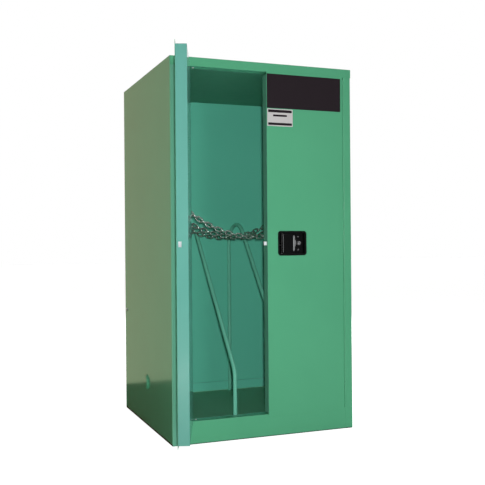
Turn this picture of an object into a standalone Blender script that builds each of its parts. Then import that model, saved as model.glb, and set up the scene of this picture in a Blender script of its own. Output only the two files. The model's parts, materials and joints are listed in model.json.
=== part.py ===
"""Double-walled steel cabinet with two doors for standing gas cylinders.

Metres, +Z up, +X to the right and +Y to the back, seen from the doors.  The origin is on the
floor under the middle of the cabinet.  The left door stands open, the right door is shut.
"""

import math

import bmesh
import bpy
from mathutils import Vector

# Cabinet
WIDTH = 0.8636
DEPTH = 0.8636
HEIGHT = 1.651
SHEET = 0.0012          # panel steel
SEAT = 0.0003           # gap between pieces that touch
CUT_OVER = 0.01         # how far a cutter reaches past a sheet
BEND = 0.004            # outer radius of the corner between side and front
WALL = 0.0432           # outer face of a wall to the face of its liner
RAIL = 0.0386           # height of the roof's front flange
SILL_TOP = 0.0983
JAMB_DEPTH = 0.047
REAR_FLANGE = 0.020
BASE_FLANGE = 0.030
SILL_FLANGE = 0.030
LINER_FLANGE = 0.012    # where the liner's front flange starts, from the outer face
LINER_FOOT = 0.020
FLOOR_Z = 0.0572
UPSTAND_TOP = 0.108

# Doors and their continuous hinges
HINGE_INSET = 0.04064   # side of the cabinet to the hinge axis
HINGE_PROUD = 0.003     # hinge axis in front of the roof's flange
LEAF = 0.0015
LEAF_DEPTH = 0.022
PIN_RADIUS = 0.0015
PIN_CLEARANCE = 0.0001
KNUCKLES = 13
KNUCKLE_GAP = 0.0006
CURL_SWEEP = 250.0      # degrees that a leaf is rolled round its pin
CURL_STEPS = 8
SKIN_GAP = 0.0005       # door skin to the roof's flange
SKIN_SIDE_GAP = 0.0009  # door skin to the hinge barrel
SKIN_TOP_LAP = 0.0061   # door skin over the roof's flange
SKIN_SILL_LAP = 0.0119  # door skin over the sill
PAN_TOP_GAP = 0.0104    # door pan under the header
PAN_SILL_GAP = 0.0033   # door pan above the sill
PAN_DEPTH = 0.0445
RIGHT_DOOR = 0.3814     # hinge axis to the free edge
MEETING_GAP = 0.006
LEFT_OPEN = 109.5       # degrees

# Latch on the right door
HANDLE_A = 0.2619       # hinge axis to the middle of the handle
HANDLE_Z = 0.8534
HANDLE_WIDTH = 0.1402
HANDLE_HEIGHT = 0.1100
HANDLE_RIM = 0.0063
HANDLE_CORNER = 0.013
HANDLE_CORNER_STEPS = 6
HANDLE_WALL = 0.002
HANDLE_DEPTH = 0.026
PADDLE_PIN_INSET = 0.01255  # pocket wall to the paddle's pin
PADDLE_SETBACK = 0.008      # pin behind the rim's face
PADDLE_SHEET = 0.003
PADDLE_LENGTH = 0.0630      # pin to the free edge
PADDLE_LIP = 0.011
PADDLE_SIDE_GAP = 0.002
PADDLE_TAPER = 0.0092         # how far the free edge is inside the root, above and below
PADDLE_TAIL = 0.0215        # pin to the tip of the tail
TAIL_HEIGHT = 0.007
TAIL_CLEARANCE = 0.002
TAIL_SLOT = (0.004, 0.018)  # to the left and right of the pin
LOCK_A = 0.0358             # from the middle of the handle
LOCK_RADIUS = 0.009
LOCK_BOSS = (0.0155, 0.005)     # radius and height of the moulded ring round the lock
LOCK_BORE = 0.0055
LOCK_PLUG = 0.005
LOCK_SETBACK = 0.006
KEYWAY = (0.0014, 0.006, 0.004)

CAM_A = 0.306               # hinge axis to the cam's pivot
CAM_RADIUS = 0.024
CAM_SHEET = 0.003
CAM_GAP = 0.003             # back of the handle pan to the cam
CAM_PIVOT = 0.003
CAM_BORE_CLEARANCE = 0.0003
CAM_THROW = 0.016           # pivot to a drive pin
DRIVE_PIN = 0.002
DRIVE_SLACK = 0.0008
CAM_TURN = 40.0             # degrees
LUG_DROP = 0.018            # pivot to the lug that the paddle pushes
LUG_RADIUS = 0.0025
LUG_REACH = 0.0022
LINK_GAP = 0.0015           # cam to the rods' end plates
LINK_SHEET = 0.003
LINK_WIDTH = 0.018          # end plate round its slot
LINK_HEIGHT = 0.0112
LINK_STEM = 0.006
LINK_LENGTH = 0.045
ROD_RADIUS = 0.004
ROD_CLEARANCE = 0.0012
ROD_REACH = 0.009           # tip of a rod beyond the frame's inner face
BOLT_HEIGHT = 0.0165
BOLT_THROW = 0.012          # tongue beyond the door's edge
BOLT_TONGUE = (0.012, 0.019)
BOLT_BLOCK = 0.030
BOLT_TAIL = 0.0084          # drive pin to the end of the strip
BOLT_CLEARANCE = 0.0012
STRIKE_SHEET = 0.0015
STRIKE_HEIGHT = 0.038
STRIKE_MARGIN = 0.003

# Fittings on the walls
VENT_Y = -0.006
LEFT_VENT_Z = 0.2032
RIGHT_VENT_DROP = 0.206     # under the roof
VENT_BORE = 0.024
VENT_WALL = 0.003
VENT_FLANGE = 0.036
VENT_FLANGE_SHEET = 0.003
VENT_CLEARANCE = 0.0006
CAP_RADIUS = 0.031
CAP_HEIGHT = 0.006
CAP_PLUG = 0.010
SCREEN_SHEET = 0.002
GROUND_INSET = 0.0338       # from the rear
GROUND_Z = 0.516
GROUND_RADIUS = 0.0065
GROUND_HEAD = 0.005
FRAME_SCREW_X = 0.112       # from the left side
FRAME_SCREW_Y = 0.030       # behind the front
FRAME_SCREW_RADIUS = 0.005
FRAME_SCREW_HEAD = 0.0022
FRAME_SCREW_DOME = ((1.0, 0.0), (0.8, 0.7), (0.4, 1.0))  # shares of its radius and head

# Chains and cylinder dividers
FRONT_CHAIN = 0.127         # chains behind the front
MIDDLE_CHAIN = 0.3302
REAR_CHAIN = 0.5334
CHAIN_Z = 1.043             # height of the eyes
CHAIN_SPARE = 0.0927        # chain beyond the straight distance between its eyes
LINK_PITCH = 0.0254
LINK_WIRE = 0.0035          # radius
LINK_OUTER = 0.024
LINK_BITE = 0.0005          # depth to which touching links press into each other
LINK_CROWN = 4              # corners round one end of a link
EYE_REACH = 0.018
EYE_WIRE = 0.003
EYE_RISE = 0.016
EYE_CLEARANCE = 0.0006
EYE_BEND = 0.006
EYE_BEND_STEPS = 2
DIVIDER_X = 0.127
DIVIDER_RADIUS = 0.0095
DIVIDER_FOOT = 0.0588       # foot behind the front
DIVIDER_BACK = 0.0155       # back leg in front of the rear liner
DIVIDER_TOP = 0.953
DIVIDER_ARCH = 0.117
DIVIDER_KNEE = 0.100
DIVIDER_SLOPE = 49.0        # degrees
DIVIDER_ARCH_STEPS = 8

# Sides of round pieces
PIN_SIDES = 8
BORE_SIDES = 12
TURNED_SIDES = 16
CAM_SIDES = 24
BAR_SIDES = 8
WIRE_SIDES = 6
SCREW_SIDES = 10
HEX_SIDES = 6
SMOOTH_ANGLE = 40.0         # degrees

# Places that follow from the sizes above
FRONT_Y = -DEPTH / 2
REAR_Y = DEPTH / 2
FACE_Y = FRONT_Y + SHEET + SEAT             # stiles and sill, behind the roof's flange
JAMB_Y = FRONT_Y + JAMB_DEPTH
LINER_Y = JAMB_Y + SEAT
REAR_LINER_Y = REAR_Y - WALL
CEILING_Z = HEIGHT - RAIL
SKIN_BOTTOM = SILL_TOP - SKIN_SILL_LAP
SKIN_TOP = CEILING_Z + SKIN_TOP_LAP
PAN_BOTTOM = SILL_TOP + PAN_SILL_GAP
PAN_TOP = CEILING_Z - PAN_TOP_GAP
RIGHT_VENT_Z = HEIGHT - RIGHT_VENT_DROP
GROUND_Y = REAR_Y - GROUND_INSET
VENT_HOLE = VENT_BORE + VENT_WALL + VENT_CLEARANCE
SIDE_TOP = HEIGHT - SHEET - SEAT
CURL_BORE = PIN_RADIUS + PIN_CLEARANCE
CURL_FLAT = math.cos(math.radians(CURL_SWEEP / CURL_STEPS / 2))
BARREL = (CURL_BORE + LEAF) / CURL_FLAT
JAMB_X = HINGE_INSET - BARREL - SEAT        # side of the cabinet to the jamb's face
AXIS_X = WIDTH / 2 - HINGE_INSET
AXIS_Y = FRONT_Y - HINGE_PROUD
LEFT_DOOR = 2 * AXIS_X - RIGHT_DOOR - MEETING_GAP
SKIN_BACK = HINGE_PROUD - SKIN_GAP          # door places are measured back from the hinge axis
SKIN_FACE = SKIN_BACK - SHEET
PAN_RIM = SKIN_BACK + SEAT
PAN_FLOOR = PAN_RIM + PAN_DEPTH
PAN_START = BARREL + SEAT
RIM_FACE = SKIN_FACE - SEAT - HANDLE_WALL
TUB_FLOOR = RIM_FACE + HANDLE_DEPTH
TUB_BACK = TUB_FLOOR + HANDLE_WALL
TUB_HALF_WIDTH = HANDLE_WIDTH / 2 - HANDLE_RIM
TUB_HALF_HEIGHT = HANDLE_HEIGHT / 2 - HANDLE_RIM
PADDLE_A = HANDLE_A + TUB_HALF_WIDTH - HANDLE_WALL - PADDLE_PIN_INSET
PADDLE_Y = RIM_FACE + PADDLE_SETBACK
CAM_Y = TUB_BACK + CAM_GAP
LINK_Y = CAM_Y + CAM_SHEET + LINK_GAP
BOLT_Y = LINK_Y + LINK_SHEET + LINK_GAP
CAM_COSINE = math.cos(math.radians(CAM_TURN))
SLOT_MIDDLE = CAM_THROW * (1 + CAM_COSINE) / 2
SLOT_HALF_LENGTH = CAM_THROW * (1 - CAM_COSINE) / 2 + DRIVE_PIN + DRIVE_SLACK
SLOT_HALF_WIDTH = DRIVE_PIN + DRIVE_SLACK
BOLT_Z = HANDLE_Z
CAM_Z = BOLT_Z + SLOT_MIDDLE


def clear_scene():
    for obj in list(bpy.data.objects):
        bpy.data.objects.remove(obj, do_unlink=True)


def paint(name, colour, roughness, metallic=0.0):
    """A Principled material of one colour."""
    made = bpy.data.materials.new(name)
    made.use_nodes = True
    shader = made.node_tree.nodes["Principled BSDF"]
    shader.inputs["Base Color"].default_value = (*colour, 1.0)
    shader.inputs["Roughness"].default_value = roughness
    shader.inputs["Metallic"].default_value = metallic
    return made


def place(name, bm, finish, parent=None, smooth=False):
    """Turns a closed bmesh into a named object."""
    bmesh.ops.recalc_face_normals(bm, faces=bm.faces)
    mesh = bpy.data.meshes.new(name)
    bm.to_mesh(mesh)
    bm.free()
    if smooth:
        mesh.shade_smooth()
        mesh.set_sharp_from_angle(angle=math.radians(SMOOTH_ANGLE))
    obj = bpy.data.objects.new(name, mesh)
    bpy.context.scene.collection.objects.link(obj)
    obj.parent = parent
    if finish:
        mesh.materials.append(finish)
    return obj


def helper(bm):
    """A hidden cutter or addition."""
    obj = place("helper", bm, None)
    obj.hide_render = True
    obj.display_type = "WIRE"
    return obj


def combine(obj, bm, operation):
    other = helper(bm)
    other.parent = obj.parent
    step = obj.modifiers.new(operation.lower(), "BOOLEAN")
    step.operation = operation
    step.solver = "EXACT"
    step.object = other


def cut(obj, bm):
    combine(obj, bm, "DIFFERENCE")


def add(obj, bm):
    combine(obj, bm, "UNION")


def prism(outline, low, high, axis, bm=None):
    """An outline in the plane across an axis, drawn out along it.

    The outline is (y, z) along X, (x, z) along Y and (x, y) along Z.
    """
    bm = bm or bmesh.new()
    spot = {
        "X": lambda a, b, c: (c, a, b),
        "Y": lambda a, b, c: (a, c, b),
        "Z": lambda a, b, c: (a, b, c),
    }[axis]
    start = [bm.verts.new(spot(a, b, low)) for a, b in outline]
    end = [bm.verts.new(spot(a, b, high)) for a, b in outline]
    bm.faces.new(start)
    bm.faces.new(end[::-1])
    for i in range(len(outline)):
        j = (i + 1) % len(outline)
        bm.faces.new((start[i], end[i], end[j], start[j]))
    return bm


def block(low, high, bm=None):
    outline = [(low[0], low[1]), (high[0], low[1]), (high[0], high[1]), (low[0], high[1])]
    return prism(outline, low[2], high[2], "Z", bm)


def round_outline(centre, radius, sides):
    turn = 2 * math.pi / sides
    return [
        (centre[0] + radius * math.cos(i * turn), centre[1] + radius * math.sin(i * turn))
        for i in range(sides)
    ]


def rounded_rectangle(centre, half_width, half_height, radius, steps=4):
    """A rectangle whose corners are arcs, counter-clockwise."""
    points = []
    corners = ((1, 1, 0), (-1, 1, 90), (-1, -1, 180), (1, -1, 270))
    for across, up, start in corners:
        for i in range(steps):
            angle = math.radians(start + 90 * i / (steps - 1))
            x = centre[0] + across * (half_width - radius) + radius * math.cos(angle)
            z = centre[1] + up * (half_height - radius) + radius * math.sin(angle)
            points.append((x, z))
    return points


def loft(loops):
    """A closed body through loops of equal length, with its two ends capped."""
    bm = bmesh.new()
    rings = [[bm.verts.new(point) for point in loop] for loop in loops]
    for ring, following in zip(rings, rings[1:]):
        for i in range(len(ring)):
            j = (i + 1) % len(ring)
            bm.faces.new((ring[i], ring[j], following[j], following[i]))
    bm.faces.new(rings[0])
    bm.faces.new(rings[-1])
    return bm


def rounded(path, radius, steps=3):
    """A path whose inner corners are arcs of one radius."""
    points = [Vector(path[0])]
    for before, corner, after in zip(path, path[1:], path[2:]):
        corner = Vector(corner)
        into = (Vector(before) - corner).normalized()
        out = (Vector(after) - corner).normalized()
        half = into.angle(out) / 2
        middle = corner + (into + out).normalized() * radius / math.sin(half)
        first = corner + into * radius / math.tan(half) - middle
        last = corner + out * radius / math.tan(half) - middle
        sweep = first.angle(last)
        for i in range(steps + 1):
            share = i / steps
            weights = (math.sin((1 - share) * sweep), math.sin(share * sweep))
            points.append(middle + (first * weights[0] + last * weights[1]) / math.sin(sweep))
    points.append(Vector(path[-1]))
    return points


def folded(path, thickness):
    """The outline of a sheet whose one face follows a path, with its thickness to the left."""
    path = [Vector(point) for point in path]
    normals = []
    for a, b in zip(path, path[1:]):
        along = (b - a).normalized()
        normals.append(Vector((-along.y, along.x)))
    inner = []
    for i, point in enumerate(path):
        before = normals[max(i - 1, 0)]
        after = normals[min(i, len(normals) - 1)]
        inner.append(point + (before + after) * thickness / (1 + before.dot(after)))
    return [tuple(p) for p in path] + [tuple(p) for p in reversed(inner)]


def turned(profile, centre, axis, sides=TURNED_SIDES):
    """A solid of revolution about a line along an axis; the profile is (radius, place)."""
    bm = bmesh.new()
    turn = 2 * math.pi / sides
    rings = []
    for radius, along in profile:
        ring = []
        for i in range(sides):
            a, b = radius * math.cos(i * turn), radius * math.sin(i * turn)
            offset = {"X": (along, a, b), "Y": (a, along, b), "Z": (a, b, along)}[axis]
            ring.append(bm.verts.new(Vector(centre) + Vector(offset)))
        rings.append(ring)
    return rings, bm


def solid_of_turning(profile, centre, axis, sides=TURNED_SIDES):
    """A turned piece with flat ends."""
    rings, bm = turned(profile, centre, axis, sides)
    for ring, following in zip(rings, rings[1:]):
        for i in range(sides):
            j = (i + 1) % sides
            bm.faces.new((ring[i], ring[j], following[j], following[i]))
    bm.faces.new(rings[0])
    bm.faces.new(rings[-1])
    return bm


def ring_of_turning(profile, centre, axis, sides=TURNED_SIDES):
    """A turned piece with a hole: the profile goes round its section and closes."""
    rings, bm = turned(profile, centre, axis, sides)
    for ring, following in zip(rings, rings[1:] + rings[:1]):
        for i in range(sides):
            j = (i + 1) % sides
            bm.faces.new((ring[i], ring[j], following[j], following[i]))
    return bm


def tube(path, radius, sides, side_axis):
    """A round bar along a path that lies in the plane across side_axis."""
    bm = bmesh.new()
    side = Vector(side_axis)
    rings = []
    path = [Vector(point) for point in path]
    for i, point in enumerate(path):
        before = path[max(i - 1, 0)]
        after = path[min(i + 1, len(path) - 1)]
        along = (after - before).normalized()
        across = side.cross(along)
        ring = []
        for k in range(sides):
            angle = 2 * math.pi * (k + 0.5) / sides
            offset = across * math.cos(angle) + side * math.sin(angle)
            ring.append(bm.verts.new(point + radius * offset))
        rings.append(ring)
    for ring, following in zip(rings, rings[1:]):
        for i in range(sides):
            j = (i + 1) % sides
            bm.faces.new((ring[i], ring[j], following[j], following[i]))
    bm.faces.new(rings[0])
    bm.faces.new(rings[-1])
    return bm


def empty(name, location, turn=0.0):
    made = bpy.data.objects.new(name, None)
    bpy.context.scene.collection.objects.link(made)
    made.location = location
    made.rotation_euler = (0.0, 0.0, math.radians(turn))
    return made


def flip(outline, side):
    """The outline as drawn for the left, or its mirror image for the right."""
    return [(side * x, y) for x, y in outline]


def vent_hole(x, z):
    """A cutter for a vent's bush in the wall at x."""
    outline = round_outline((VENT_Y, z), VENT_HOLE, TURNED_SIDES)
    return prism(outline, x - CUT_OVER, x + CUT_OVER, "X")


def side_panel(name, side, green, vent_z):
    """Outer side, folded round the front corner into the stile and the jamb."""
    rear = REAR_Y - SHEET - SEAT
    path = [
        (-WIDTH / 2 + REAR_FLANGE, rear),
        (-WIDTH / 2, rear),
        (-WIDTH / 2, FACE_Y),
        (-WIDTH / 2 + JAMB_X, FACE_Y),
        (-WIDTH / 2 + JAMB_X, JAMB_Y),
    ]
    corner = rounded(path[1:4], BEND)
    outline = folded([path[0], *corner, path[4]], SHEET)
    panel = place(name, prism(flip(outline, side), 0.0, SIDE_TOP, "Z"), green)
    cut(panel, vent_hole(-side * WIDTH / 2, vent_z))


def side_liner(name, side, green, vent_z):
    """Inner wall, with a flange that closes the wall behind the jamb."""
    path = [
        (-WIDTH / 2 + LINER_FLANGE, LINER_Y),
        (-WIDTH / 2 + WALL, LINER_Y),
        (-WIDTH / 2 + WALL, REAR_LINER_Y - SEAT),
    ]
    outline = flip(folded(path, SHEET), side)
    liner = place(name, prism(outline, LINER_FOOT, CEILING_Z - SEAT, "Z"), green)
    cut(liner, vent_hole(-side * (WIDTH / 2 - WALL), vent_z))


def rod_hole(side_a):
    """The outline of the hole round a latch rod, in the frame's (x, y)."""
    centre = (AXIS_X - side_a, AXIS_Y + LINK_Y + LINK_SHEET / 2)
    return round_outline(centre, ROD_RADIUS + ROD_CLEARANCE, BORE_SIDES)


def build_shell(green):
    """Outer panels, front frame and liners."""
    side_panel("left_side_panel", 1, green, LEFT_VENT_Z)
    side_panel("right_side_panel", -1, green, RIGHT_VENT_Z)
    rear_low = (-WIDTH / 2, REAR_Y - SHEET, 0.0)
    place("rear_panel", block(rear_low, (WIDTH / 2, REAR_Y, SIDE_TOP)), green)

    roof = folded([(REAR_Y, HEIGHT), (FRONT_Y, HEIGHT), (FRONT_Y, CEILING_Z)], SHEET)
    place("roof_cap", prism(roof, -WIDTH / 2, WIDTH / 2, "X"), green)

    frame_half = WIDTH / 2 - JAMB_X - SEAT
    header_path = [(FACE_Y, SIDE_TOP - 2 * SEAT), (FACE_Y, CEILING_Z), (JAMB_Y, CEILING_Z)]
    header = place("header", prism(folded(header_path, SHEET), -frame_half, frame_half, "X"), green)
    cut(header, prism(rod_hole(CAM_A + CAM_THROW), CEILING_Z - CUT_OVER, CEILING_Z + CUT_OVER, "Z"))

    sill_path = [
        (JAMB_Y, SILL_TOP - SILL_FLANGE),
        (JAMB_Y, SILL_TOP),
        (FACE_Y, SILL_TOP),
        (FACE_Y, 0.0),
        (JAMB_Y, 0.0),
    ]
    sill = place("sill", prism(folded(sill_path, SHEET), -frame_half, frame_half, "X"), green)
    cut(sill, prism(rod_hole(CAM_A - CAM_THROW), SILL_TOP - CUT_OVER, SILL_TOP + CUT_OVER, "Z"))

    base_half = WIDTH / 2 - SHEET - SEAT
    base_path = [
        (-base_half, BASE_FLANGE),
        (-base_half, 0.0),
        (base_half, 0.0),
        (base_half, BASE_FLANGE),
    ]
    base_rear = REAR_Y - 2 * SHEET - 2 * SEAT
    place("base_pan", prism(folded(base_path, SHEET), LINER_Y, base_rear, "Y"), green)

    side_liner("left_liner", 1, green, LEFT_VENT_Z)
    side_liner("right_liner", -1, green, RIGHT_VENT_Z)
    liner_half = WIDTH / 2 - LINER_FLANGE
    liner_low = (-liner_half, REAR_LINER_Y, LINER_FOOT)
    liner_high = (liner_half, REAR_LINER_Y + SHEET, CEILING_Z - SEAT)
    place("rear_liner", block(liner_low, liner_high), green)
    ceiling_low = (-liner_half, LINER_Y, CEILING_Z)
    ceiling_high = (liner_half, REAR_Y - LINER_FLANGE, CEILING_Z + SHEET)
    place("ceiling_liner", block(ceiling_low, ceiling_high), green)
    build_sump(green)


def build_sump(green):
    """Leak-tight floor: a tray whose edges stand up inside the liners."""
    half = WIDTH / 2 - WALL - SEAT
    front = LINER_Y
    rear = REAR_LINER_Y - SEAT

    def loop(inset, z):
        return [
            (-half + inset, front + inset, z),
            (half - inset, front + inset, z),
            (half - inset, rear - inset, z),
            (-half + inset, rear - inset, z),
        ]

    loops = [
        loop(SHEET, FLOOR_Z),
        loop(SHEET, UPSTAND_TOP),
        loop(0.0, UPSTAND_TOP),
        loop(0.0, FLOOR_Z - SHEET),
    ]
    sump = place("sump_floor", loft(loops), green)
    low = (-half + SHEET, front - CUT_OVER, SILL_TOP)
    cut(sump, block(low, (half - SHEET, front + CUT_OVER, UPSTAND_TOP + CUT_OVER)))


def hinge_leaf(name, side, own, finish, parent):
    """One leaf of a continuous hinge, rolled round the pin at its own knuckles.

    own is 0 for the frame's leaf, which has the first knuckle, and 1 for the door's.
    """
    hand = side if own else -side
    arc = []
    for i in range(CURL_STEPS + 1):
        angle = math.radians(180 + CURL_SWEEP * i / CURL_STEPS)
        arc.append((BARREL * math.cos(angle), BARREL * math.sin(angle)))
    outline = folded([(-BARREL, LEAF_DEPTH), *arc], LEAF)
    outline = [(-hand * x, y) for x, y in outline]
    leaf = place(name, prism(outline, PAN_BOTTOM, PAN_TOP, "Z"), finish, parent, smooth=True)
    pitch = (PAN_TOP - PAN_BOTTOM) / KNUCKLES
    reach = BARREL + KNUCKLE_GAP
    cutters = bmesh.new()
    for i in range(KNUCKLES):
        if i % 2 == own:
            continue
        low = PAN_BOTTOM + i * pitch - KNUCKLE_GAP / 2
        high = PAN_BOTTOM + (i + 1) * pitch + KNUCKLE_GAP / 2
        block((-reach, -reach, low), (reach, reach, high), cutters)
    cut(leaf, cutters)


def build_hinge(hand, side, axis, frame_axis, steel):
    hinge_leaf(hand + "_hinge_frame_leaf", side, 0, steel, frame_axis)
    hinge_leaf(hand + "_hinge_door_leaf", side, 1, steel, axis)
    pin = prism(round_outline((0.0, 0.0), PIN_RADIUS, PIN_SIDES), PAN_BOTTOM, PAN_TOP, "Z")
    place(hand + "_hinge_pin", pin, steel, frame_axis, smooth=True)


def door_skin(name, side, width, green, parent):
    """Outer sheet, whose top and bottom lips lap over the roof's flange and the sill."""
    ends = sorted((side * (BARREL + SKIN_SIDE_GAP), side * width))
    low = (ends[0], SKIN_FACE, SKIN_BOTTOM)
    return place(name, block(low, (ends[1], SKIN_BACK, SKIN_TOP)), green, parent)


def door_pan(name, side, width, green, parent):
    """Inner sheet of a door: a tray that is open towards the skin."""
    ends = sorted((side * PAN_START, side * width))

    def loop(inset, y):
        x = (ends[0] + inset, ends[1] - inset)
        z = (PAN_BOTTOM + inset, PAN_TOP - inset)
        return [(x[0], y, z[0]), (x[1], y, z[0]), (x[1], y, z[1]), (x[0], y, z[1])]

    loops = [
        loop(SHEET, PAN_FLOOR - SHEET),
        loop(SHEET, PAN_RIM),
        loop(0.0, PAN_RIM),
        loop(0.0, PAN_FLOOR),
    ]
    return place(name, loft(loops), green, parent)


def build_left_door(axis, green, steel):
    door_skin("left_door_skin", 1, LEFT_DOOR, green, axis)
    pan = door_pan("left_door_pan", 1, LEFT_DOOR, green, axis)
    slack = 2 * BOLT_CLEARANCE
    slot_low = (BOLT_TONGUE[0] - slack, BOLT_Z - BOLT_HEIGHT / 2 - slack)
    slot_high = (BOLT_TONGUE[1] + slack, BOLT_Z + BOLT_HEIGHT / 2 + slack)
    cut(pan, block((LEFT_DOOR - CUT_OVER, *slot_low), (LEFT_DOOR + CUT_OVER, *slot_high)))

    start = LEFT_DOOR + SEAT
    plate_low = (start, slot_low[0] - STRIKE_MARGIN, BOLT_Z - STRIKE_HEIGHT / 2)
    plate_high = (start + STRIKE_SHEET, slot_high[0] + STRIKE_MARGIN, BOLT_Z + STRIKE_HEIGHT / 2)
    strike = place("strike_plate", block(plate_low, plate_high), steel, axis)
    cut(strike, block((start - CUT_OVER, *slot_low), (start + CUT_OVER, *slot_high)))


def build_right_door(axis, green):
    skin = door_skin("right_door_skin", -1, RIGHT_DOOR, green, axis)
    hole = rounded_rectangle(
        (-HANDLE_A, HANDLE_Z),
        TUB_HALF_WIDTH + SEAT,
        TUB_HALF_HEIGHT + SEAT,
        HANDLE_CORNER / 2,
        HANDLE_CORNER_STEPS,
    )
    cut(skin, prism(hole, SKIN_FACE - CUT_OVER, SKIN_BACK + CUT_OVER, "Y"))

    pan = door_pan("right_door_pan", -1, RIGHT_DOOR, green, axis)
    holes = bmesh.new()
    rod_y = LINK_Y + LINK_SHEET / 2
    radius = ROD_RADIUS + ROD_CLEARANCE
    for a, z in ((CAM_A + CAM_THROW, PAN_TOP), (CAM_A - CAM_THROW, PAN_BOTTOM)):
        outline = round_outline((-a, rod_y), radius, BORE_SIDES)
        prism(outline, z - CUT_OVER, z + CUT_OVER, "Z", holes)
    half = BOLT_HEIGHT / 2 + BOLT_CLEARANCE
    low = (-RIGHT_DOOR - CUT_OVER, BOLT_TONGUE[0] - BOLT_CLEARANCE, BOLT_Z - half)
    high = (-RIGHT_DOOR + CUT_OVER, BOLT_TONGUE[1] + BOLT_CLEARANCE, BOLT_Z + half)
    block(low, high, holes)
    cut(pan, holes)


def build_handle(axis, black, steel):
    """Recessed handle: a pan set into the skin, a pull paddle, its pin and a key lock."""
    centre = (-HANDLE_A, HANDLE_Z)
    half = (HANDLE_WIDTH / 2, HANDLE_HEIGHT / 2)
    wall = HANDLE_WALL
    tub = (TUB_HALF_WIDTH, TUB_HALF_HEIGHT)

    def loop(size, radius, y):
        outline = rounded_rectangle(centre, size[0], size[1], radius, HANDLE_CORNER_STEPS)
        return [(x, y, z) for x, z in outline]

    corner = HANDLE_CORNER / 2
    inside = (tub[0] - wall, tub[1] - wall)
    loops = [
        loop(inside, corner - wall, TUB_FLOOR),
        loop(inside, corner - wall, RIM_FACE),
        loop(half, HANDLE_CORNER, RIM_FACE),
        loop(half, HANDLE_CORNER, RIM_FACE + wall),
        loop(tub, corner, RIM_FACE + wall),
        loop(tub, corner, TUB_BACK),
    ]
    pan = place("handle_pan", loft(loops), black, axis, smooth=True)
    tail_z = CAM_Z - LUG_DROP
    tail_half = TAIL_HEIGHT / 2 + TAIL_CLEARANCE
    low = (-PADDLE_A - TAIL_SLOT[0], TUB_FLOOR - HANDLE_WALL, tail_z - tail_half)
    high = (-PADDLE_A + TAIL_SLOT[1], TUB_BACK + HANDLE_WALL, tail_z + tail_half)
    holes = block(low, high)
    lock_x = -HANDLE_A + LOCK_A
    bore = round_outline((lock_x, HANDLE_Z), LOCK_BORE, BORE_SIDES)
    prism(bore, TUB_FLOOR - HANDLE_WALL, TUB_BACK + HANDLE_WALL, "Y", holes)
    cut(pan, holes)
    boss = [
        (LOCK_BOSS[0], TUB_FLOOR - LOCK_BOSS[1]),
        (LOCK_BOSS[0], TUB_FLOOR + HANDLE_WALL / 2),
        (LOCK_RADIUS + SEAT, TUB_FLOOR + HANDLE_WALL / 2),
        (LOCK_RADIUS + SEAT, TUB_FLOOR - LOCK_BOSS[1]),
    ]
    add(pan, ring_of_turning(boss, (lock_x, 0.0, HANDLE_Z), "Y", TURNED_SIDES))

    pin_half = tub[1] - wall - SEAT
    pin = round_outline((-PADDLE_A, PADDLE_Y), PIN_RADIUS, PIN_SIDES)
    low, high = HANDLE_Z - pin_half, HANDLE_Z + pin_half
    place("paddle_pin", prism(pin, low, high, "Z"), steel, axis, smooth=True)

    barrel = [
        (LOCK_RADIUS, RIM_FACE + LOCK_SETBACK),
        (LOCK_RADIUS, TUB_FLOOR - SEAT),
        (LOCK_BORE, TUB_FLOOR - SEAT),
        (LOCK_BORE, RIM_FACE + LOCK_SETBACK),
    ]
    body = ring_of_turning(barrel, (lock_x, 0.0, HANDLE_Z), "Y", BORE_SIDES)
    place("lock_barrel", body, steel, axis, smooth=True)


def build_paddle(axis, black):
    """Pull paddle: a plate rolled round its pin, with a lip to pull and a tail to the cam."""
    swing = empty("paddle_axis", (-PADDLE_A, PADDLE_Y, 0.0))
    swing.parent = axis
    roll = (CURL_BORE + PADDLE_SHEET) / CURL_FLAT
    arc = []
    for i in range(CURL_STEPS + 1):
        angle = math.radians(270 - CURL_SWEEP * i / CURL_STEPS)
        arc.append((roll * math.cos(angle), roll * math.sin(angle)))
    path = [(PADDLE_LENGTH, PADDLE_LIP - roll), (PADDLE_LENGTH, -roll), *arc]
    outline = folded(path[::-1], PADDLE_SHEET)
    half = TUB_HALF_HEIGHT - HANDLE_WALL - PADDLE_SIDE_GAP
    plate = prism(outline, HANDLE_Z - half, HANDLE_Z + half, "Z")
    for vert in plate.verts:
        share = max(vert.co.x, 0.0) / PADDLE_LENGTH
        vert.co.z -= math.copysign(share * PADDLE_TAPER, vert.co.z - HANDLE_Z)
    paddle = place("paddle", plate, black, swing, smooth=True)
    tail_z = CAM_Z - LUG_DROP
    start = CURL_BORE + PADDLE_SHEET / 2
    low = (-PADDLE_SHEET / 2, start, tail_z - TAIL_HEIGHT / 2)
    add(paddle, block(low, (PADDLE_SHEET / 2, PADDLE_TAIL, tail_z + TAIL_HEIGHT / 2)))


def build_lock_plug(axis, steel):
    """Key plug that turns in the lock's barrel."""
    turn = empty("lock_axis", (-HANDLE_A + LOCK_A, 0.0, HANDLE_Z))
    turn.parent = axis
    front = RIM_FACE + LOCK_SETBACK - SEAT
    profile = [(LOCK_PLUG, front), (LOCK_PLUG, TUB_BACK)]
    body = solid_of_turning(profile, (0.0, 0.0, 0.0), "Y", BORE_SIDES)
    plug = place("lock_plug", body, steel, turn, smooth=True)
    half_width, half_height, depth = KEYWAY[0] / 2, KEYWAY[1] / 2, KEYWAY[2]
    low = (-half_width, front - depth, -half_height)
    cut(plug, block(low, (half_width, front + depth, half_height)))


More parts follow.
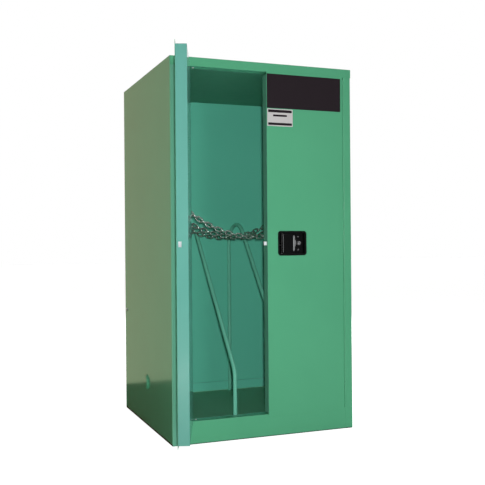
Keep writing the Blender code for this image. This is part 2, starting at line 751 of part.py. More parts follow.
def build_latch(axis, steel):
    """Cam behind the handle that draws in the side bolt and the two long rods together."""
    centre = (-CAM_A, CAM_Z)
    back = CAM_Y + CAM_SHEET
    pivot = [
        (CAM_PIVOT, TUB_BACK + SEAT),
        (CAM_PIVOT, back + SEAT),
        (2 * CAM_PIVOT, back + SEAT),
        (2 * CAM_PIVOT, back + LINK_GAP - SEAT),
    ]
    stud = solid_of_turning(pivot, (centre[0], 0.0, centre[1]), "Y", BORE_SIDES)
    place("cam_pivot", stud, steel, axis, smooth=True)

    turn = empty("cam_axis", (centre[0], 0.0, centre[1]))
    turn.parent = axis
    bore = CAM_PIVOT + CAM_BORE_CLEARANCE
    bore_radius = bore / math.cos(math.pi / CAM_SIDES)
    disc = [(CAM_RADIUS, CAM_Y), (CAM_RADIUS, back), (bore_radius, back), (bore_radius, CAM_Y)]
    body = ring_of_turning(disc, (0.0, 0.0, 0.0), "Y", CAM_SIDES)
    cam = place("latch_cam", body, steel, turn, smooth=True)
    bite = CAM_SHEET / 2
    drive_end = LINK_Y + LINK_SHEET + LINK_GAP / 2
    for x, z, end in (
        (-CAM_THROW, 0.0, drive_end),
        (CAM_THROW, 0.0, drive_end),
        (0.0, -CAM_THROW, BOLT_Y + LINK_SHEET + LINK_GAP / 2),
    ):
        add(cam, prism(round_outline((x, z), DRIVE_PIN, PIN_SIDES), back - bite, end, "Y"))
    lug = round_outline((0.0, -LUG_DROP), LUG_RADIUS, PIN_SIDES)
    add(cam, prism(lug, CAM_Y - LUG_REACH, CAM_Y + bite, "Y"))

    build_rod("upper_latch_rod", 1, CEILING_Z + ROD_REACH, axis, steel)
    build_rod("lower_latch_rod", -1, SILL_TOP - ROD_REACH, axis, steel)
    build_bolt(axis, steel)


def build_rod(name, up, tip, axis, steel):
    """Long rod from the cam to the frame, with a slotted end plate over the cam's pin."""
    slide = empty(name + "_axis", (-CAM_A - up * CAM_THROW, LINK_Y + LINK_SHEET / 2, 0.0))
    slide.parent = axis
    half_sheet = LINK_SHEET / 2
    slot_x = up * (CAM_THROW - SLOT_MIDDLE)
    half = (LINK_WIDTH / 2, LINK_HEIGHT / 2)
    low = (slot_x - half[0], -half_sheet, CAM_Z - half[1])
    high = (slot_x + half[0], half_sheet, CAM_Z + half[1])
    rod = place(name, block(low, high), steel, slide, smooth=True)
    slot_low = (slot_x - SLOT_HALF_LENGTH, -LINK_SHEET, CAM_Z - SLOT_HALF_WIDTH)
    cut(rod, block(slot_low, (slot_x + SLOT_HALF_LENGTH, LINK_SHEET, CAM_Z + SLOT_HALF_WIDTH)))
    far = CAM_Z + up * LINK_LENGTH
    stem = sorted((CAM_Z + up * (SLOT_HALF_WIDTH + LINK_SHEET / 2), far))
    low = (-LINK_STEM / 2, -half_sheet, stem[0])
    add(rod, block(low, (LINK_STEM / 2, half_sheet, stem[1])))
    span = sorted((far - up * LINK_STEM, tip))
    add(rod, prism(round_outline((0.0, 0.0), ROD_RADIUS, BORE_SIDES), span[0], span[1], "Z"))


def build_bolt(axis, steel):
    """Side bolt: a strip from the cam, jogged forward to a tongue in the door's edge."""
    slide = empty("bolt_axis", (-CAM_A, 0.0, BOLT_Z))
    slide.parent = axis
    edge = CAM_A - RIGHT_DOOR
    strip = (BOLT_Y, BOLT_Y + LINK_SHEET)
    inside = edge + SHEET + BOLT_CLEARANCE
    outline = [
        (BOLT_TAIL, strip[0]),
        (BOLT_TAIL, strip[1]),
        (inside, strip[1]),
        (inside, BOLT_TONGUE[1]),
        (edge - BOLT_THROW, BOLT_TONGUE[1]),
        (edge - BOLT_THROW, (BOLT_TONGUE[0] + BOLT_TONGUE[1]) / 2),
        (edge - BOLT_THROW / 2, BOLT_TONGUE[0]),
        (inside + BOLT_BLOCK, BOLT_TONGUE[0]),
        (inside + BOLT_BLOCK, strip[0]),
    ]
    half = BOLT_HEIGHT / 2
    bolt = place("latch_bolt", prism(outline, -half, half, "Z"), steel, slide)
    middle = CAM_Z - SLOT_MIDDLE - BOLT_Z
    low = (-SLOT_HALF_WIDTH, strip[0] - LINK_SHEET, middle - SLOT_HALF_LENGTH)
    cut(bolt, block(low, (SLOT_HALF_WIDTH, strip[1] + LINK_SHEET, middle + SLOT_HALF_LENGTH)))


def build_vent(hand, side, z, green, brass):
    """Vent through a double wall: a flanged bush, its flame screen and a screwed cap."""
    outside = WIDTH / 2
    inside = WIDTH / 2 - WALL
    bush = [
        (VENT_FLANGE, outside + SEAT),
        (VENT_FLANGE, outside + SEAT + VENT_FLANGE_SHEET),
        (VENT_BORE, outside + SEAT + VENT_FLANGE_SHEET),
        (VENT_BORE, inside),
        (VENT_BORE + VENT_WALL, inside),
        (VENT_BORE + VENT_WALL, outside + SEAT),
    ]
    seat = outside + SEAT + VENT_FLANGE_SHEET
    plug = VENT_BORE - VENT_CLEARANCE
    cap = [
        (plug, seat - CAP_PLUG),
        (plug, seat + SEAT),
        (CAP_RADIUS, seat + SEAT),
        (CAP_RADIUS, seat + CAP_HEIGHT - VENT_WALL),
        (CAP_RADIUS - VENT_WALL, seat + CAP_HEIGHT),
    ]
    screen = [(plug, inside + SCREEN_SHEET), (plug, inside + 2 * SCREEN_SHEET)]
    centre = (0.0, VENT_Y, z)

    def mirrored(profile):
        return [(radius, side * along) for radius, along in profile]

    for name, body, finish in (
        ("_vent_bush", ring_of_turning(mirrored(bush), centre, "X"), green),
        ("_vent_cap", solid_of_turning(mirrored(cap), centre, "X"), green),
        ("_vent_screen", solid_of_turning(mirrored(screen), centre, "X"), brass),
    ):
        place(hand + name, body, finish, smooth=True)


def build_fasteners(steel):
    """Earthing screw on the left side, and two screws in the front frame by the left hinge."""
    head = round_outline((GROUND_Y, GROUND_Z), GROUND_RADIUS, HEX_SIDES)
    face = -WIDTH / 2 - SEAT
    place("ground_screw", prism(head, face - GROUND_HEAD, face, "X"), steel)
    spot = (-WIDTH / 2 + FRAME_SCREW_X, FRONT_Y + FRAME_SCREW_Y)
    for name, z, up in (("header_screw", CEILING_Z - SEAT, -1), ("sill_screw", SILL_TOP + SEAT, 1)):
        dome = [
            (FRAME_SCREW_RADIUS * out, up * FRAME_SCREW_HEAD * rise)
            for out, rise in FRAME_SCREW_DOME
        ]
        place(name, solid_of_turning(dome, (*spot, z), "Z", SCREW_SIDES), steel, smooth=True)


def build_dividers(green):
    """Bent bars that keep the columns of cylinders apart."""
    foot_y = FRONT_Y + DIVIDER_FOOT
    back_y = REAR_LINER_Y - DIVIDER_BACK
    start_z = FLOOR_Z + SEAT
    middle = (back_y - DIVIDER_ARCH, DIVIDER_TOP - DIVIDER_ARCH)
    slope = math.radians(DIVIDER_SLOPE)
    first = math.pi / 2 + slope
    touch = (
        middle[0] + DIVIDER_ARCH * math.cos(first),
        middle[1] + DIVIDER_ARCH * math.sin(first),
    )
    knee = (foot_y, touch[1] - (touch[0] - foot_y) * math.tan(slope))
    lower = rounded([(foot_y, start_z), knee, touch], DIVIDER_KNEE)
    arch = []
    for i in range(1, DIVIDER_ARCH_STEPS + 1):
        angle = first * (1 - i / DIVIDER_ARCH_STEPS)
        y = middle[0] + DIVIDER_ARCH * math.cos(angle)
        arch.append((y, middle[1] + DIVIDER_ARCH * math.sin(angle)))
    route = [tuple(point) for point in lower] + arch + [(back_y, start_z)]
    for name, x in (("left_divider", -DIVIDER_X), ("right_divider", DIVIDER_X)):
        path = [(x, y, z) for y, z in route]
        place(name, tube(path, DIVIDER_RADIUS, BAR_SIDES, (1, 0, 0)), green, smooth=True)


def link_mesh(bm, middle, along, across):
    """One link: a square bar on edge, bent into a long ring that lies in the plane of two axes."""
    up = along.cross(across)
    half_inner = LINK_PITCH / 2 - LINK_BITE / 2
    crown = LINK_OUTER / 2 - LINK_WIRE
    end = half_inner + LINK_WIRE - crown
    step = math.pi / LINK_CROWN
    corner = crown / math.cos(step / 2)
    route = []
    for way in (1, -1):
        for i in range(LINK_CROWN):
            angle = -math.pi / 2 + (i + 0.5) * step
            u = way * (end + corner * math.cos(angle))
            v = way * corner * math.sin(angle)
            route.append((u, v))
    rings = []
    for i, (u, v) in enumerate(route):
        before = Vector(route[i - 1])
        after = Vector(route[(i + 1) % len(route)])
        here = Vector((u, v))
        first = (here - before).normalized()
        second = (after - here).normalized()
        normal = Vector((first.y + second.y, -first.x - second.x))
        normal *= 2 / normal.length_squared
        ring = []
        for outward, upward in ((1, 0), (0, 1), (-1, 0), (0, -1)):
            spot = here + normal * LINK_WIRE * outward
            point = middle + along * spot.x + across * spot.y + up * LINK_WIRE * upward
            ring.append(bm.verts.new(point))
        rings.append(ring)
    for ring, following in zip(rings, rings[1:] + rings[:1]):
        for i in range(4):
            j = (i + 1) % 4
            bm.faces.new((ring[i], ring[j], following[j], following[i]))


def catenary(span, length):
    """Parameter of the curve in which a chain of this length hangs over this span."""
    low, high = span / 20, span * 20
    for _ in range(80):
        middle = (low + high) / 2
        if 2 * middle * math.sinh(span / (2 * middle)) > length:
            low = middle
        else:
            high = middle
    return high


def build_chains(zinc, green):
    """Retaining chains, each hung between two eyes on the side liners."""
    eye_x = WIDTH / 2 - WALL - EYE_REACH
    rough = (2 * eye_x + CHAIN_SPARE) / LINK_PITCH
    count = 2 * round((rough - 1) / 2) + 1
    length = count * LINK_PITCH
    shape = catenary(2 * eye_x, length)
    tilt = math.atan(math.sinh(eye_x / shape))
    hook = (EYE_WIRE + LINK_WIRE + EYE_CLEARANCE) / math.cos(tilt) - LINK_WIRE
    outer_x = eye_x + hook * math.cos(tilt)
    shape = catenary(2 * outer_x, length)
    low_z = CHAIN_Z + hook * math.sin(tilt) - shape * (math.cosh(outer_x / shape) - 1)
    rows = (("front", FRONT_CHAIN), ("middle", MIDDLE_CHAIN), ("rear", REAR_CHAIN))
    for row, behind in rows:
        y = FRONT_Y + behind
        swing = empty(row + "_chain_axis", (0.0, y, CHAIN_Z))
        flat, upright = bmesh.new(), bmesh.new()
        for i in range(count):
            arc = (i + 0.5) * LINK_PITCH - length / 2
            x = shape * math.asinh(arc / shape)
            z = low_z + shape * (math.cosh(x / shape) - 1)
            along = Vector((1.0, 0.0, math.sinh(x / shape))).normalized()
            side = Vector((0.0, 1.0, 0.0))
            if i % 2 == 0:
                link_mesh(flat, Vector((x, 0.0, z - CHAIN_Z)), along, side)
            else:
                link_mesh(upright, Vector((x, 0.0, z - CHAIN_Z)), along, side.cross(along))
        chain = place(row + "_chain", flat, zinc, swing)
        add(chain, upright)
        for hand, side in (("left", -1), ("right", 1)):
            build_eye(f"{row}_chain_eye_{hand}", side, y, green)


def build_eye(name, side, y, green):
    """Bent wire eye on a side liner."""
    wall = side * (WIDTH / 2 - WALL - SEAT)
    bar = side * (WIDTH / 2 - WALL - EYE_REACH)
    low, high = CHAIN_Z - EYE_RISE, CHAIN_Z + EYE_RISE
    corners = [(wall, low), (bar, low), (bar, high), (wall, high)]
    route = rounded(corners, EYE_BEND, EYE_BEND_STEPS)
    path = [(x, y, z) for x, z in route]
    place(name, tube(path, EYE_WIRE, WIRE_SIDES, (0, 1, 0)), green, smooth=True)


def main():
    clear_scene()
    green = paint("green_enamel", (0.10, 0.38, 0.23), 0.35)
    black = paint("black_plastic", (0.012, 0.012, 0.013), 0.45)
    steel = paint("bright_steel", (0.62, 0.62, 0.60), 0.3, 1.0)
    zinc = paint("zinc_chain", (0.42, 0.43, 0.42), 0.4, 1.0)
    brass = paint("brass_screen", (0.55, 0.40, 0.16), 0.45, 1.0)

    build_shell(green)
    left_frame = empty("left_frame_axis", (-AXIS_X, AXIS_Y, 0.0))
    left_axis = empty("left_door_axis", (-AXIS_X, AXIS_Y, 0.0), -LEFT_OPEN)
    right_axis = empty("right_door_axis", (AXIS_X, AXIS_Y, 0.0))
    build_hinge("left", 1, left_axis, left_frame, green)
    build_hinge("right", -1, right_axis, right_axis, green)
    build_left_door(left_axis, green, steel)
    build_right_door(right_axis, green)
    build_handle(right_axis, black, steel)
    build_paddle(right_axis, black)
    build_lock_plug(right_axis, steel)
    build_latch(right_axis, steel)
    build_vent("left", -1, LEFT_VENT_Z, green, brass)
    build_vent("right", 1, RIGHT_VENT_Z, green, brass)
    build_fasteners(steel)
    build_dividers(green)
    build_chains(zinc, green)


main()
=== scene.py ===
"""Looks of a green two-door gas cylinder cabinet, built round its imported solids.

Metres, +Z up, -Y to the front.  Every piece is worked out in the frame of the solids.
"""

import json
import math

import bmesh
import bpy
import numpy as np
from mathutils import Matrix, Vector

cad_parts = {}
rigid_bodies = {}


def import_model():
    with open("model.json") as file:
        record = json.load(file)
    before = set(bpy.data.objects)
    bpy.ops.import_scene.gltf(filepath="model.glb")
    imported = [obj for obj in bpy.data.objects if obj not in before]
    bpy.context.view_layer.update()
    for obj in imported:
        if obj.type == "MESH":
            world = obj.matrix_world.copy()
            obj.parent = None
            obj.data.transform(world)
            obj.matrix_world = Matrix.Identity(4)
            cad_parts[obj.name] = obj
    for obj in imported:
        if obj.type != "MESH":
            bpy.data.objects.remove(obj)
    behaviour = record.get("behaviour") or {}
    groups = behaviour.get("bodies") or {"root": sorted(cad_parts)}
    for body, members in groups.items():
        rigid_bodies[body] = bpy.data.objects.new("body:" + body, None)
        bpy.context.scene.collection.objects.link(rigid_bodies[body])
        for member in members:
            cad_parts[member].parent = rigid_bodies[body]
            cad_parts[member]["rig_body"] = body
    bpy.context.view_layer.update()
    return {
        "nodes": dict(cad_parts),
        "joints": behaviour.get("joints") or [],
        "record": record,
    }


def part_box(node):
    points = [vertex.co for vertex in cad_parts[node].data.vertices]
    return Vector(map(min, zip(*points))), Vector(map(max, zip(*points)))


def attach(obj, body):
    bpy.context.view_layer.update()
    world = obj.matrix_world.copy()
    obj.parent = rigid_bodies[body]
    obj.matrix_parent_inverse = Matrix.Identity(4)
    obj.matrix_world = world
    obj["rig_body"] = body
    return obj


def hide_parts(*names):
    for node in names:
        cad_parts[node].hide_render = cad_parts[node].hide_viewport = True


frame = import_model()
BODY = {name: node["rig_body"] for name, node in frame["nodes"].items()}
SLOT = {part["node"]: part["material_slot"] for part in frame["record"]["subparts"]}
JOINT = {joint["name"]: joint for joint in frame["joints"]}

# Places taken from the solids
WALL_X = -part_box("left_side_panel")[0].x    # outside of a side wall, from the middle
STILE_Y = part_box("left_side_panel")[0].y    # front of the stiles
DOOR_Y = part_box("right_door_skin")[0].y     # front of the right door
TRAY_LOW, TRAY_TOP = (corner.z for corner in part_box("sump_floor"))

# Camera, with its turns in degrees and its lens and sensor in millimetres
CAMERA_PLACE = (-1.3503, -3.5964, 0.8590)
CAMERA_YAW = 21.418
CAMERA_PITCH = -0.010
CAMERA_ROLL = -0.459
CAMERA_LENS = 57.82
CAMERA_SENSOR = 36.0

# Sheet metal and mouldings
FOLD_ROUND = 0.0016         # outer radius of a pressed fold
PLATE_ROUND = 0.0005        # the same on cut plates and on the tray
LEAF_ROUND = 0.0004         # the same on hinge leaves
PAN_ROUND = 0.0008          # the same on the handle pan
PADDLE_ROUND = 0.002
RIM_ROUND = 0.0004          # rounding that paint gives a cut edge
MOULD_RIM = 0.0006          # rounding of a moulding's small edges
NARROW_FACE = 0.0025        # a face this narrow is a cut edge
PADDLE_NARROW = 0.0035      # the same on the thicker paddle
LONG_FOLD = 0.03            # shorter edges are only eased
ROUND_STEPS = 3
SHARP_TURN = math.radians(36)
SMOOTH_TURN = math.radians(40)
FLAT_TURN = math.radians(10)
JOINED_TURN = math.radians(1)
WELD = 1e-5                 # corners of a solid this close are one

# New surfaces
POLE = 1e-7                 # points this close are one
TURNED_SIDES = 48
CORNER_STEPS = 7            # of a round corner in an outline
BEAD_STEPS = 7              # of a weld bead's fillet
BEAD_SIDES = 32

# Patterns, by the size each is drawn at
PAINT_DRIFT = 0.4
PAINT_PATCH = 0.03125
PAINT_PEEL = 0.00714
PLASTIC_GRAIN = 0.00125
PLASTIC_WEAR = 0.0167
VINYL_WAVE = 0.0222
COARSE_CRYSTAL = 0.004
FINE_CRYSTAL = 0.002
SCREEN_THREAD = 0.002

# Colours blended into the paint: where each starts and where it is complete
# A dark line painted along the foot of the outer walls, the widest on the left
FOOT_LINE = (0.005, 0.003)
LEFT_FOOT_LINE = (0.010, 0.006)
# The stile's painted sheen, a painted reflection blended across Y
STILE_SHEEN = (STILE_Y + 0.0016, STILE_Y + 0.0004)
# Painted shade, darker towards the open door's foot
DOOR_FOOT_SHADE = (0.85, 0.0)
# Painted shade on the tray's floor, which is also dulled as by dust
TRAY_DUST_AND_SHADE = (TRAY_LOW + 0.006, TRAY_LOW + 0.002)
# Painted shade along the seam at the tray's rim
TRAY_SEAM_SHADE = (TRAY_TOP - 0.0045, TRAY_TOP - 0.0035)
BLEND_ROUGHNESS = 0.15
DUST_ROUGHNESS = 0.5

# Chains and their eyes
CHAIN_LINKS = 33
LINK_PITCH = 0.0254
LINK_WIRE = 0.0035          # radius of the wire
LINK_OUTER = 0.024
LINK_PLAY = 0.0001
LINK_STEPS = 24
WIRE_STEPS = 10
EYE_WIRE = 0.003            # radius of the wire
EYE_FLAT = EYE_WIRE * math.cos(math.pi / 6)     # the solid's wire has six sides
EYE_REACH = 0.0084          # from a corner to the start of its bend
EYE_BEAD = 0.0027           # size of a weld bead
EYE_CLEARANCE = 0.0006
EYE_STEPS = 9               # of a bend
EYE_SIDES = 14
HALVINGS = 80               # in the search for a chain's curve

# Divider bars
BAR_RADIUS = 0.0095
BAR_FLAT = BAR_RADIUS * math.cos(math.pi / 8)   # the solid's bar has eight sides
BAR_ARCH = 0.117
BAR_KNEE = 0.100
BAR_SLOPE = math.radians(49.0)
BAR_BEAD = 0.005
BAR_SIDES = 24
KNEE_STEPS = 20
ARCH_STEPS = 40

# Vents
VENT_BORE = 0.024           # radius
VENT_TUBE = 0.003           # thickness of the bush's tube
VENT_ROUND = 0.0011
VENT_STEPS = 4              # of a round edge
VENT_SIDES = 64
VENT_GAP = 0.0003           # behind the flange, and between flange and cap
PLUG_PLAY = 0.0006          # of the cap in the bore
CAP_EDGE = 0.0025           # from the flange to the top of the cap's grip
CAP_CROWN = 0.0009          # rise of the crown
CAP_CROWN_SHARE = 0.86      # where the crown starts, as a share of the radius
CAP_ROUND = 0.0010
CAP_SIDES = 240
CAP_RIBS = 30
CAP_RIB_SHARE = 0.013       # half the depth of a rib, as a share of the radius
CAP_GRIP = (0.90, 0.95)     # shares of the radius where the ribs start and are complete

# Screws and lock
WASHER_RADIUS = 0.0095
WASHER_SHEET = 0.0016
WASHER_ROUND = 0.0005
HEX_CHAMFER = 0.0008
HEX_TOP_SHARE = 0.86        # width of the top, as a share of the head's
HEAD_FALL = 0.75            # drop of a dome at its rim, as a share of its height
HEAD_ROWS = 14              # from the middle of a dome to its last row before the rim
HEAD_LAST = 0.92            # that row, as a share of the radius
CROSS_DEPTH = 0.6           # depth of the cross recess, as a share of the height
CROSS_BAR = (0.17, 0.12)    # start and end of the slope beside a bar, as shares of the radius
CROSS_REACH = (0.62, 0.54)  # the same beyond its end
PAN_FLOOR = 0.002           # thickness of the handle pan's floor
PAN_SCREW_RADIUS = 0.0040
PAN_SCREW_HEIGHT = 0.0020
PAN_SCREW_RISE = 0.030      # above and below the middle of the pan
PAN_SCREW_ASIDE = 0.006     # to the right of the lock
LOCK_BORE = 0.0055          # radius
LOCK_ROUND = 0.0009

# Plates on the right door, as left, right, bottom and top
SIGN = (0.0112, 0.3775, 1.4530, 1.6053)
LABEL = (0.0125, 0.1363, 1.3735, 1.4505)
PLATE_SHEET = 0.0004
PLATE_CORNER = 0.003
PLATE_EASE = 0.6            # eased share of the thickness
# Bands of the label: foot and height as shares of its height, and inset of both ends
BANDS = ((0.79, 0.16, 0.004), (0.56, 0.11, 0.028), (0.06, 0.14, 0.004))

# Cup behind the strike
CUP_WALL = 0.0008
CUP_DEPTH = 0.014
CUP_CORNER = 0.002
CUP_BEHIND = 0.0015         # rear of the strike plate to the inside of the door's sheet
CUP_SLACK = 0.0004          # between slot and cup

# Grip on the paddle, and the bright strip along its knuckle, which is a painted highlight
GRIP_WIDTH = 0.0095
GRIP_BULGE = 0.006
GRIP_BULGE_HALF = 0.016
GRIP_PROUD = 0.0024
GRIP_HALF = 0.0352          # half its length
GLINT_FROM_PIN = 0.0062
GLINT_WIDTH = 0.0018
GLINT_PROUD = 0.0008
GLINT_HALF = 0.0415           # half its length
STRIP_ROWS = 61
STRIP_COLUMNS = 15

# Floor and cards
FLOOR_REACH = 30.0
FLOOR_Z = -0.0005
FLOOR_GLOW = 0.90
AMBIENT = 0.03
CARD_Z = 0.001
CARD_LEFT, CARD_RIGHT = -4.0, -0.4325
CARD_NEAR, CARD_FAR = -0.43, 1.10
CARD_TOP = 4.0
ROOM_WIDE = 9.0
ROOM_NEAR = -7.5
ROOM_TOP = 6.0

# Lamps: name, place, aim, width and height in metres, watts
LAMP_COLOUR = "#FBFCFF"
LAMPS = (
    ("key_box", (-1.3186, -3.6088, 0.90), (0.0, 0.0, 0.85), (0.05, 0.05), 92.0),
    ("glint_box", (0.15, -5.20, 1.10), (0.0, 0.0, 0.85), (0.5, 0.9), 30.0),
    ("back_box", (2.4, 4.4, 2.0), (0.0, 0.43, 0.85), (1.5, 1.5), 140.0),
    ("right_box", (4.6, 0.2, 1.8), (0.43, 0.0, 0.85), (1.5, 1.5), 110.0),
    ("top_box", (0.3, 1.2, 4.5), (0.0, 0.0, 1.65), (1.5, 1.5), 60.0),
)
MIRRORED_LAMPS = ("glint_box",)


def linear(colour):
    """An sRGB hex colour as linear RGBA."""
    parts = np.array([int(colour[i:i + 2], 16) for i in (1, 3, 5)]) / 255
    curve = np.where(parts <= 0.04045, parts / 12.92, ((parts + 0.055) / 1.055) ** 2.4)
    return (*curve.tolist(), 1.0)


def add_node(tree, kind, attributes=None, values=None, links=None):
    """Adds a node with its settings, its input values and the sockets that feed it."""
    made = tree.nodes.new(kind)
    for name, value in (attributes or {}).items():
        setattr(made, name, value)
    for name, value in (values or {}).items():
        made.inputs[name].default_value = value
    for name, socket in (links or {}).items():
        tree.links.new(socket, made.inputs[name])
    return made


def new_finish(name, colour, roughness, metallic=0.0):
    """A Principled material, its tree and its shader."""
    made = bpy.data.materials.new(name)
    made.use_nodes = True
    tree = made.node_tree
    shader = tree.nodes["Principled BSDF"]
    shader.inputs["Base Color"].default_value = linear(colour)
    shader.inputs["Roughness"].default_value = roughness
    shader.inputs["Metallic"].default_value = metallic
    made.diffuse_color = linear(colour)
    return made, tree, shader


def baked_enamel(name, thin="#509F77", thick="#58A97F", low=0.11, high=0.18):
    """Sprayed and baked alkyd enamel: one even green, a soft gloss and a slight orange peel."""
    made, tree, shader = new_finish(name, thick, low)
    spot = add_node(tree, "ShaderNodeTexCoord").outputs["Object"]
    # The paint's thickness drifts over about 0.4 m, which shifts the green by a shade
    drift = add_node(tree, "ShaderNodeTexNoise",
                     values={"Scale": 1 / PAINT_DRIFT, "Detail": 3.0}, links={"Vector": spot})
    shade = add_node(tree, "ShaderNodeMix", {"data_type": "RGBA"},
                     {6: linear(thin), 7: linear(thick)}, {"Factor": drift.outputs["Fac"]})
    tree.links.new(shade.outputs[2], shader.inputs["Base Color"])
    # Handling and dust vary the gloss in patches of some 30 mm
    handled = add_node(tree, "ShaderNodeTexNoise",
                       values={"Scale": 1 / PAINT_PATCH, "Detail": 4.0}, links={"Vector": spot})
    gloss = add_node(tree, "ShaderNodeMapRange", values={"To Min": low, "To Max": high},
                     links={"Value": handled.outputs["Fac"]})
    tree.links.new(gloss.outputs["Result"], shader.inputs["Roughness"])
    # Orange peel is 2 mm across; it is drawn at 7 mm so that it shows in the render
    peel = add_node(tree, "ShaderNodeTexNoise",
                    values={"Scale": 1 / PAINT_PEEL, "Detail": 1.5}, links={"Vector": spot})
    bump = add_node(tree, "ShaderNodeBump", values={"Strength": 0.05, "Distance": 0.0006},
                    links={"Height": peel.outputs["Fac"]})
    tree.links.new(bump.outputs["Normal"], shader.inputs["Normal"])
    return made


def blended(finish, extent, colour, roughness=BLEND_ROUGHNESS, axis="Z"):
    """Blends a colour and a roughness into a finish, from none at one place on an axis to all of
    it at another; it lays painted shade and painted sheen as well as dust.
    """
    tree = finish.node_tree
    shader = tree.nodes["Principled BSDF"]
    spot = add_node(tree, "ShaderNodeTexCoord").outputs["Object"]
    place = add_node(tree, "ShaderNodeSeparateXYZ", links={"Vector": spot}).outputs[axis]
    start, complete = extent
    film = add_node(tree, "ShaderNodeMapRange",
                    values={"From Min": start, "From Max": complete},
                    links={"Value": place}).outputs["Result"]
    bare = {name: shader.inputs[name].links[0].from_socket for name in ("Base Color", "Roughness")}
    shade = add_node(tree, "ShaderNodeMix", {"data_type": "RGBA"}, {7: linear(colour)},
                     {"Factor": film, 6: bare["Base Color"]})
    tree.links.new(shade.outputs[2], shader.inputs["Base Color"])
    dull = add_node(tree, "ShaderNodeMix", values={3: roughness},
                    links={"Factor": film, 2: bare["Roughness"]})
    tree.links.new(dull.outputs[0], shader.inputs["Roughness"])


def moulded_abs(name, low, high, specular):
    """Black ABS with a spark-eroded grain: a dull sheen that breaks into fine specks."""
    made, tree, shader = new_finish(name, "#080909", low)
    shader.inputs["Specular IOR Level"].default_value = specular
    spot = add_node(tree, "ShaderNodeTexCoord").outputs["Object"]
    # The grain is 0.3 mm; it is drawn at 1.25 mm so that it shows in close views
    grain = add_node(tree, "ShaderNodeTexNoise",
                     values={"Scale": 1 / PLASTIC_GRAIN, "Detail": 2.0}, links={"Vector": spot})
    bump = add_node(tree, "ShaderNodeBump", values={"Strength": 0.12, "Distance": 0.0002},
                    links={"Height": grain.outputs["Fac"]})
    tree.links.new(bump.outputs["Normal"], shader.inputs["Normal"])
    wear = add_node(tree, "ShaderNodeTexNoise",
                    values={"Scale": 1 / PLASTIC_WEAR, "Detail": 3.0}, links={"Vector": spot})
    gloss = add_node(tree, "ShaderNodeMapRange", values={"To Min": low, "To Max": high},
                     links={"Value": wear.outputs["Fac"]})
    tree.links.new(gloss.outputs["Result"], shader.inputs["Roughness"])
    return made


def zinc_plate(name, bright, dull, low, high, crystal=FINE_CRYSTAL, metallic=1.0):
    """Zinc plate on steel: a grey metal whose crystals differ a little in shade and gloss."""
    made, tree, shader = new_finish(name, bright, low, metallic)
    spot = add_node(tree, "ShaderNodeTexCoord").outputs["Object"]
    cells = add_node(tree, "ShaderNodeTexVoronoi", values={"Scale": 1 / crystal},
                     links={"Vector": spot})
    tint = add_node(tree, "ShaderNodeSeparateColor", links={"Color": cells.outputs["Color"]})
    shade = add_node(tree, "ShaderNodeMix", {"data_type": "RGBA"},
                     {6: linear(bright), 7: linear(dull)}, {"Factor": tint.outputs["Red"]})
    tree.links.new(shade.outputs[2], shader.inputs["Base Color"])
    gloss = add_node(tree, "ShaderNodeMapRange", values={"To Min": low, "To Max": high},
                     links={"Value": tint.outputs["Green"]})
    tree.links.new(gloss.outputs["Result"], shader.inputs["Roughness"])
    return made


def woven_brass():
    """Brass wire cloth, woven square: bright crossings over gaps painted dark, as painted shade
    for the dark bore behind them.
    """
    made, tree, shader = new_finish("woven_brass_cloth", "#B48F45", 0.35, 1.0)
    spot = add_node(tree, "ShaderNodeTexCoord").outputs["Object"]
    split = add_node(tree, "ShaderNodeSeparateXYZ", links={"Vector": spot})
    # The mesh is 0.6 mm; it is drawn at 2 mm so that it shows in close views
    waves = []
    for axis in ("Y", "Z"):
        turn = add_node(tree, "ShaderNodeMath", {"operation": "MULTIPLY"},
                        {1: 2 * math.pi / SCREEN_THREAD}, {0: split.outputs[axis]})
        waves.append(add_node(tree, "ShaderNodeMath", {"operation": "SINE"},
                              links={0: turn.outputs[0]}))
    weave = add_node(tree, "ShaderNodeMath", {"operation": "MAXIMUM"},
                     links={0: waves[0].outputs[0], 1: waves[1].outputs[0]})
    shade = add_node(tree, "ShaderNodeMix", {"data_type": "RGBA"},
                     {6: linear("#2A2010"), 7: linear("#C29C50")}, {"Factor": weave.outputs[0]})
    tree.links.new(shade.outputs[2], shader.inputs["Base Color"])
    bump = add_node(tree, "ShaderNodeBump", values={"Strength": 0.6, "Distance": 0.0004},
                    links={"Height": weave.outputs[0]})
    tree.links.new(bump.outputs["Normal"], shader.inputs["Normal"])
    return made


def printed_vinyl(name, colour, roughness, metallic=0.0, spread=0.06):
    """Self-adhesive vinyl film: a smooth sheet that follows small waves in what is under it."""
    made, tree, shader = new_finish(name, colour, roughness, metallic)
    shader.inputs["Specular IOR Level"].default_value = 0.2
    spot = add_node(tree, "ShaderNodeTexCoord").outputs["Object"]
    wave = add_node(tree, "ShaderNodeTexNoise",
                    values={"Scale": 1 / VINYL_WAVE, "Detail": 2.0}, links={"Vector": spot})
    bump = add_node(tree, "ShaderNodeBump", values={"Strength": 0.06, "Distance": 0.0006},
                    links={"Height": wave.outputs["Fac"]})
    tree.links.new(bump.outputs["Normal"], shader.inputs["Normal"])
    gloss = add_node(tree, "ShaderNodeMapRange",
                     values={"To Min": roughness - spread, "To Max": roughness + spread},
                     links={"Value": wave.outputs["Fac"]})
    tree.links.new(gloss.outputs["Result"], shader.inputs["Roughness"])
    return made


FINISH = {
    "green_enamel": baked_enamel("baked_green_enamel"),
    "black_plastic": moulded_abs("moulded_black_abs", 0.3, 0.46, 0.2),
    "bright_steel": zinc_plate("bright_zinc_plate", "#D4D6D6", "#C2C4C4", 0.18, 0.3,
                               COARSE_CRYSTAL),
    "zinc_chain": zinc_plate("tumbled_zinc_plate", "#DCEFE4", "#84978C", 0.05, 0.14,
                             COARSE_CRYSTAL, 0.88),
    "brass_screen": woven_brass(),
}
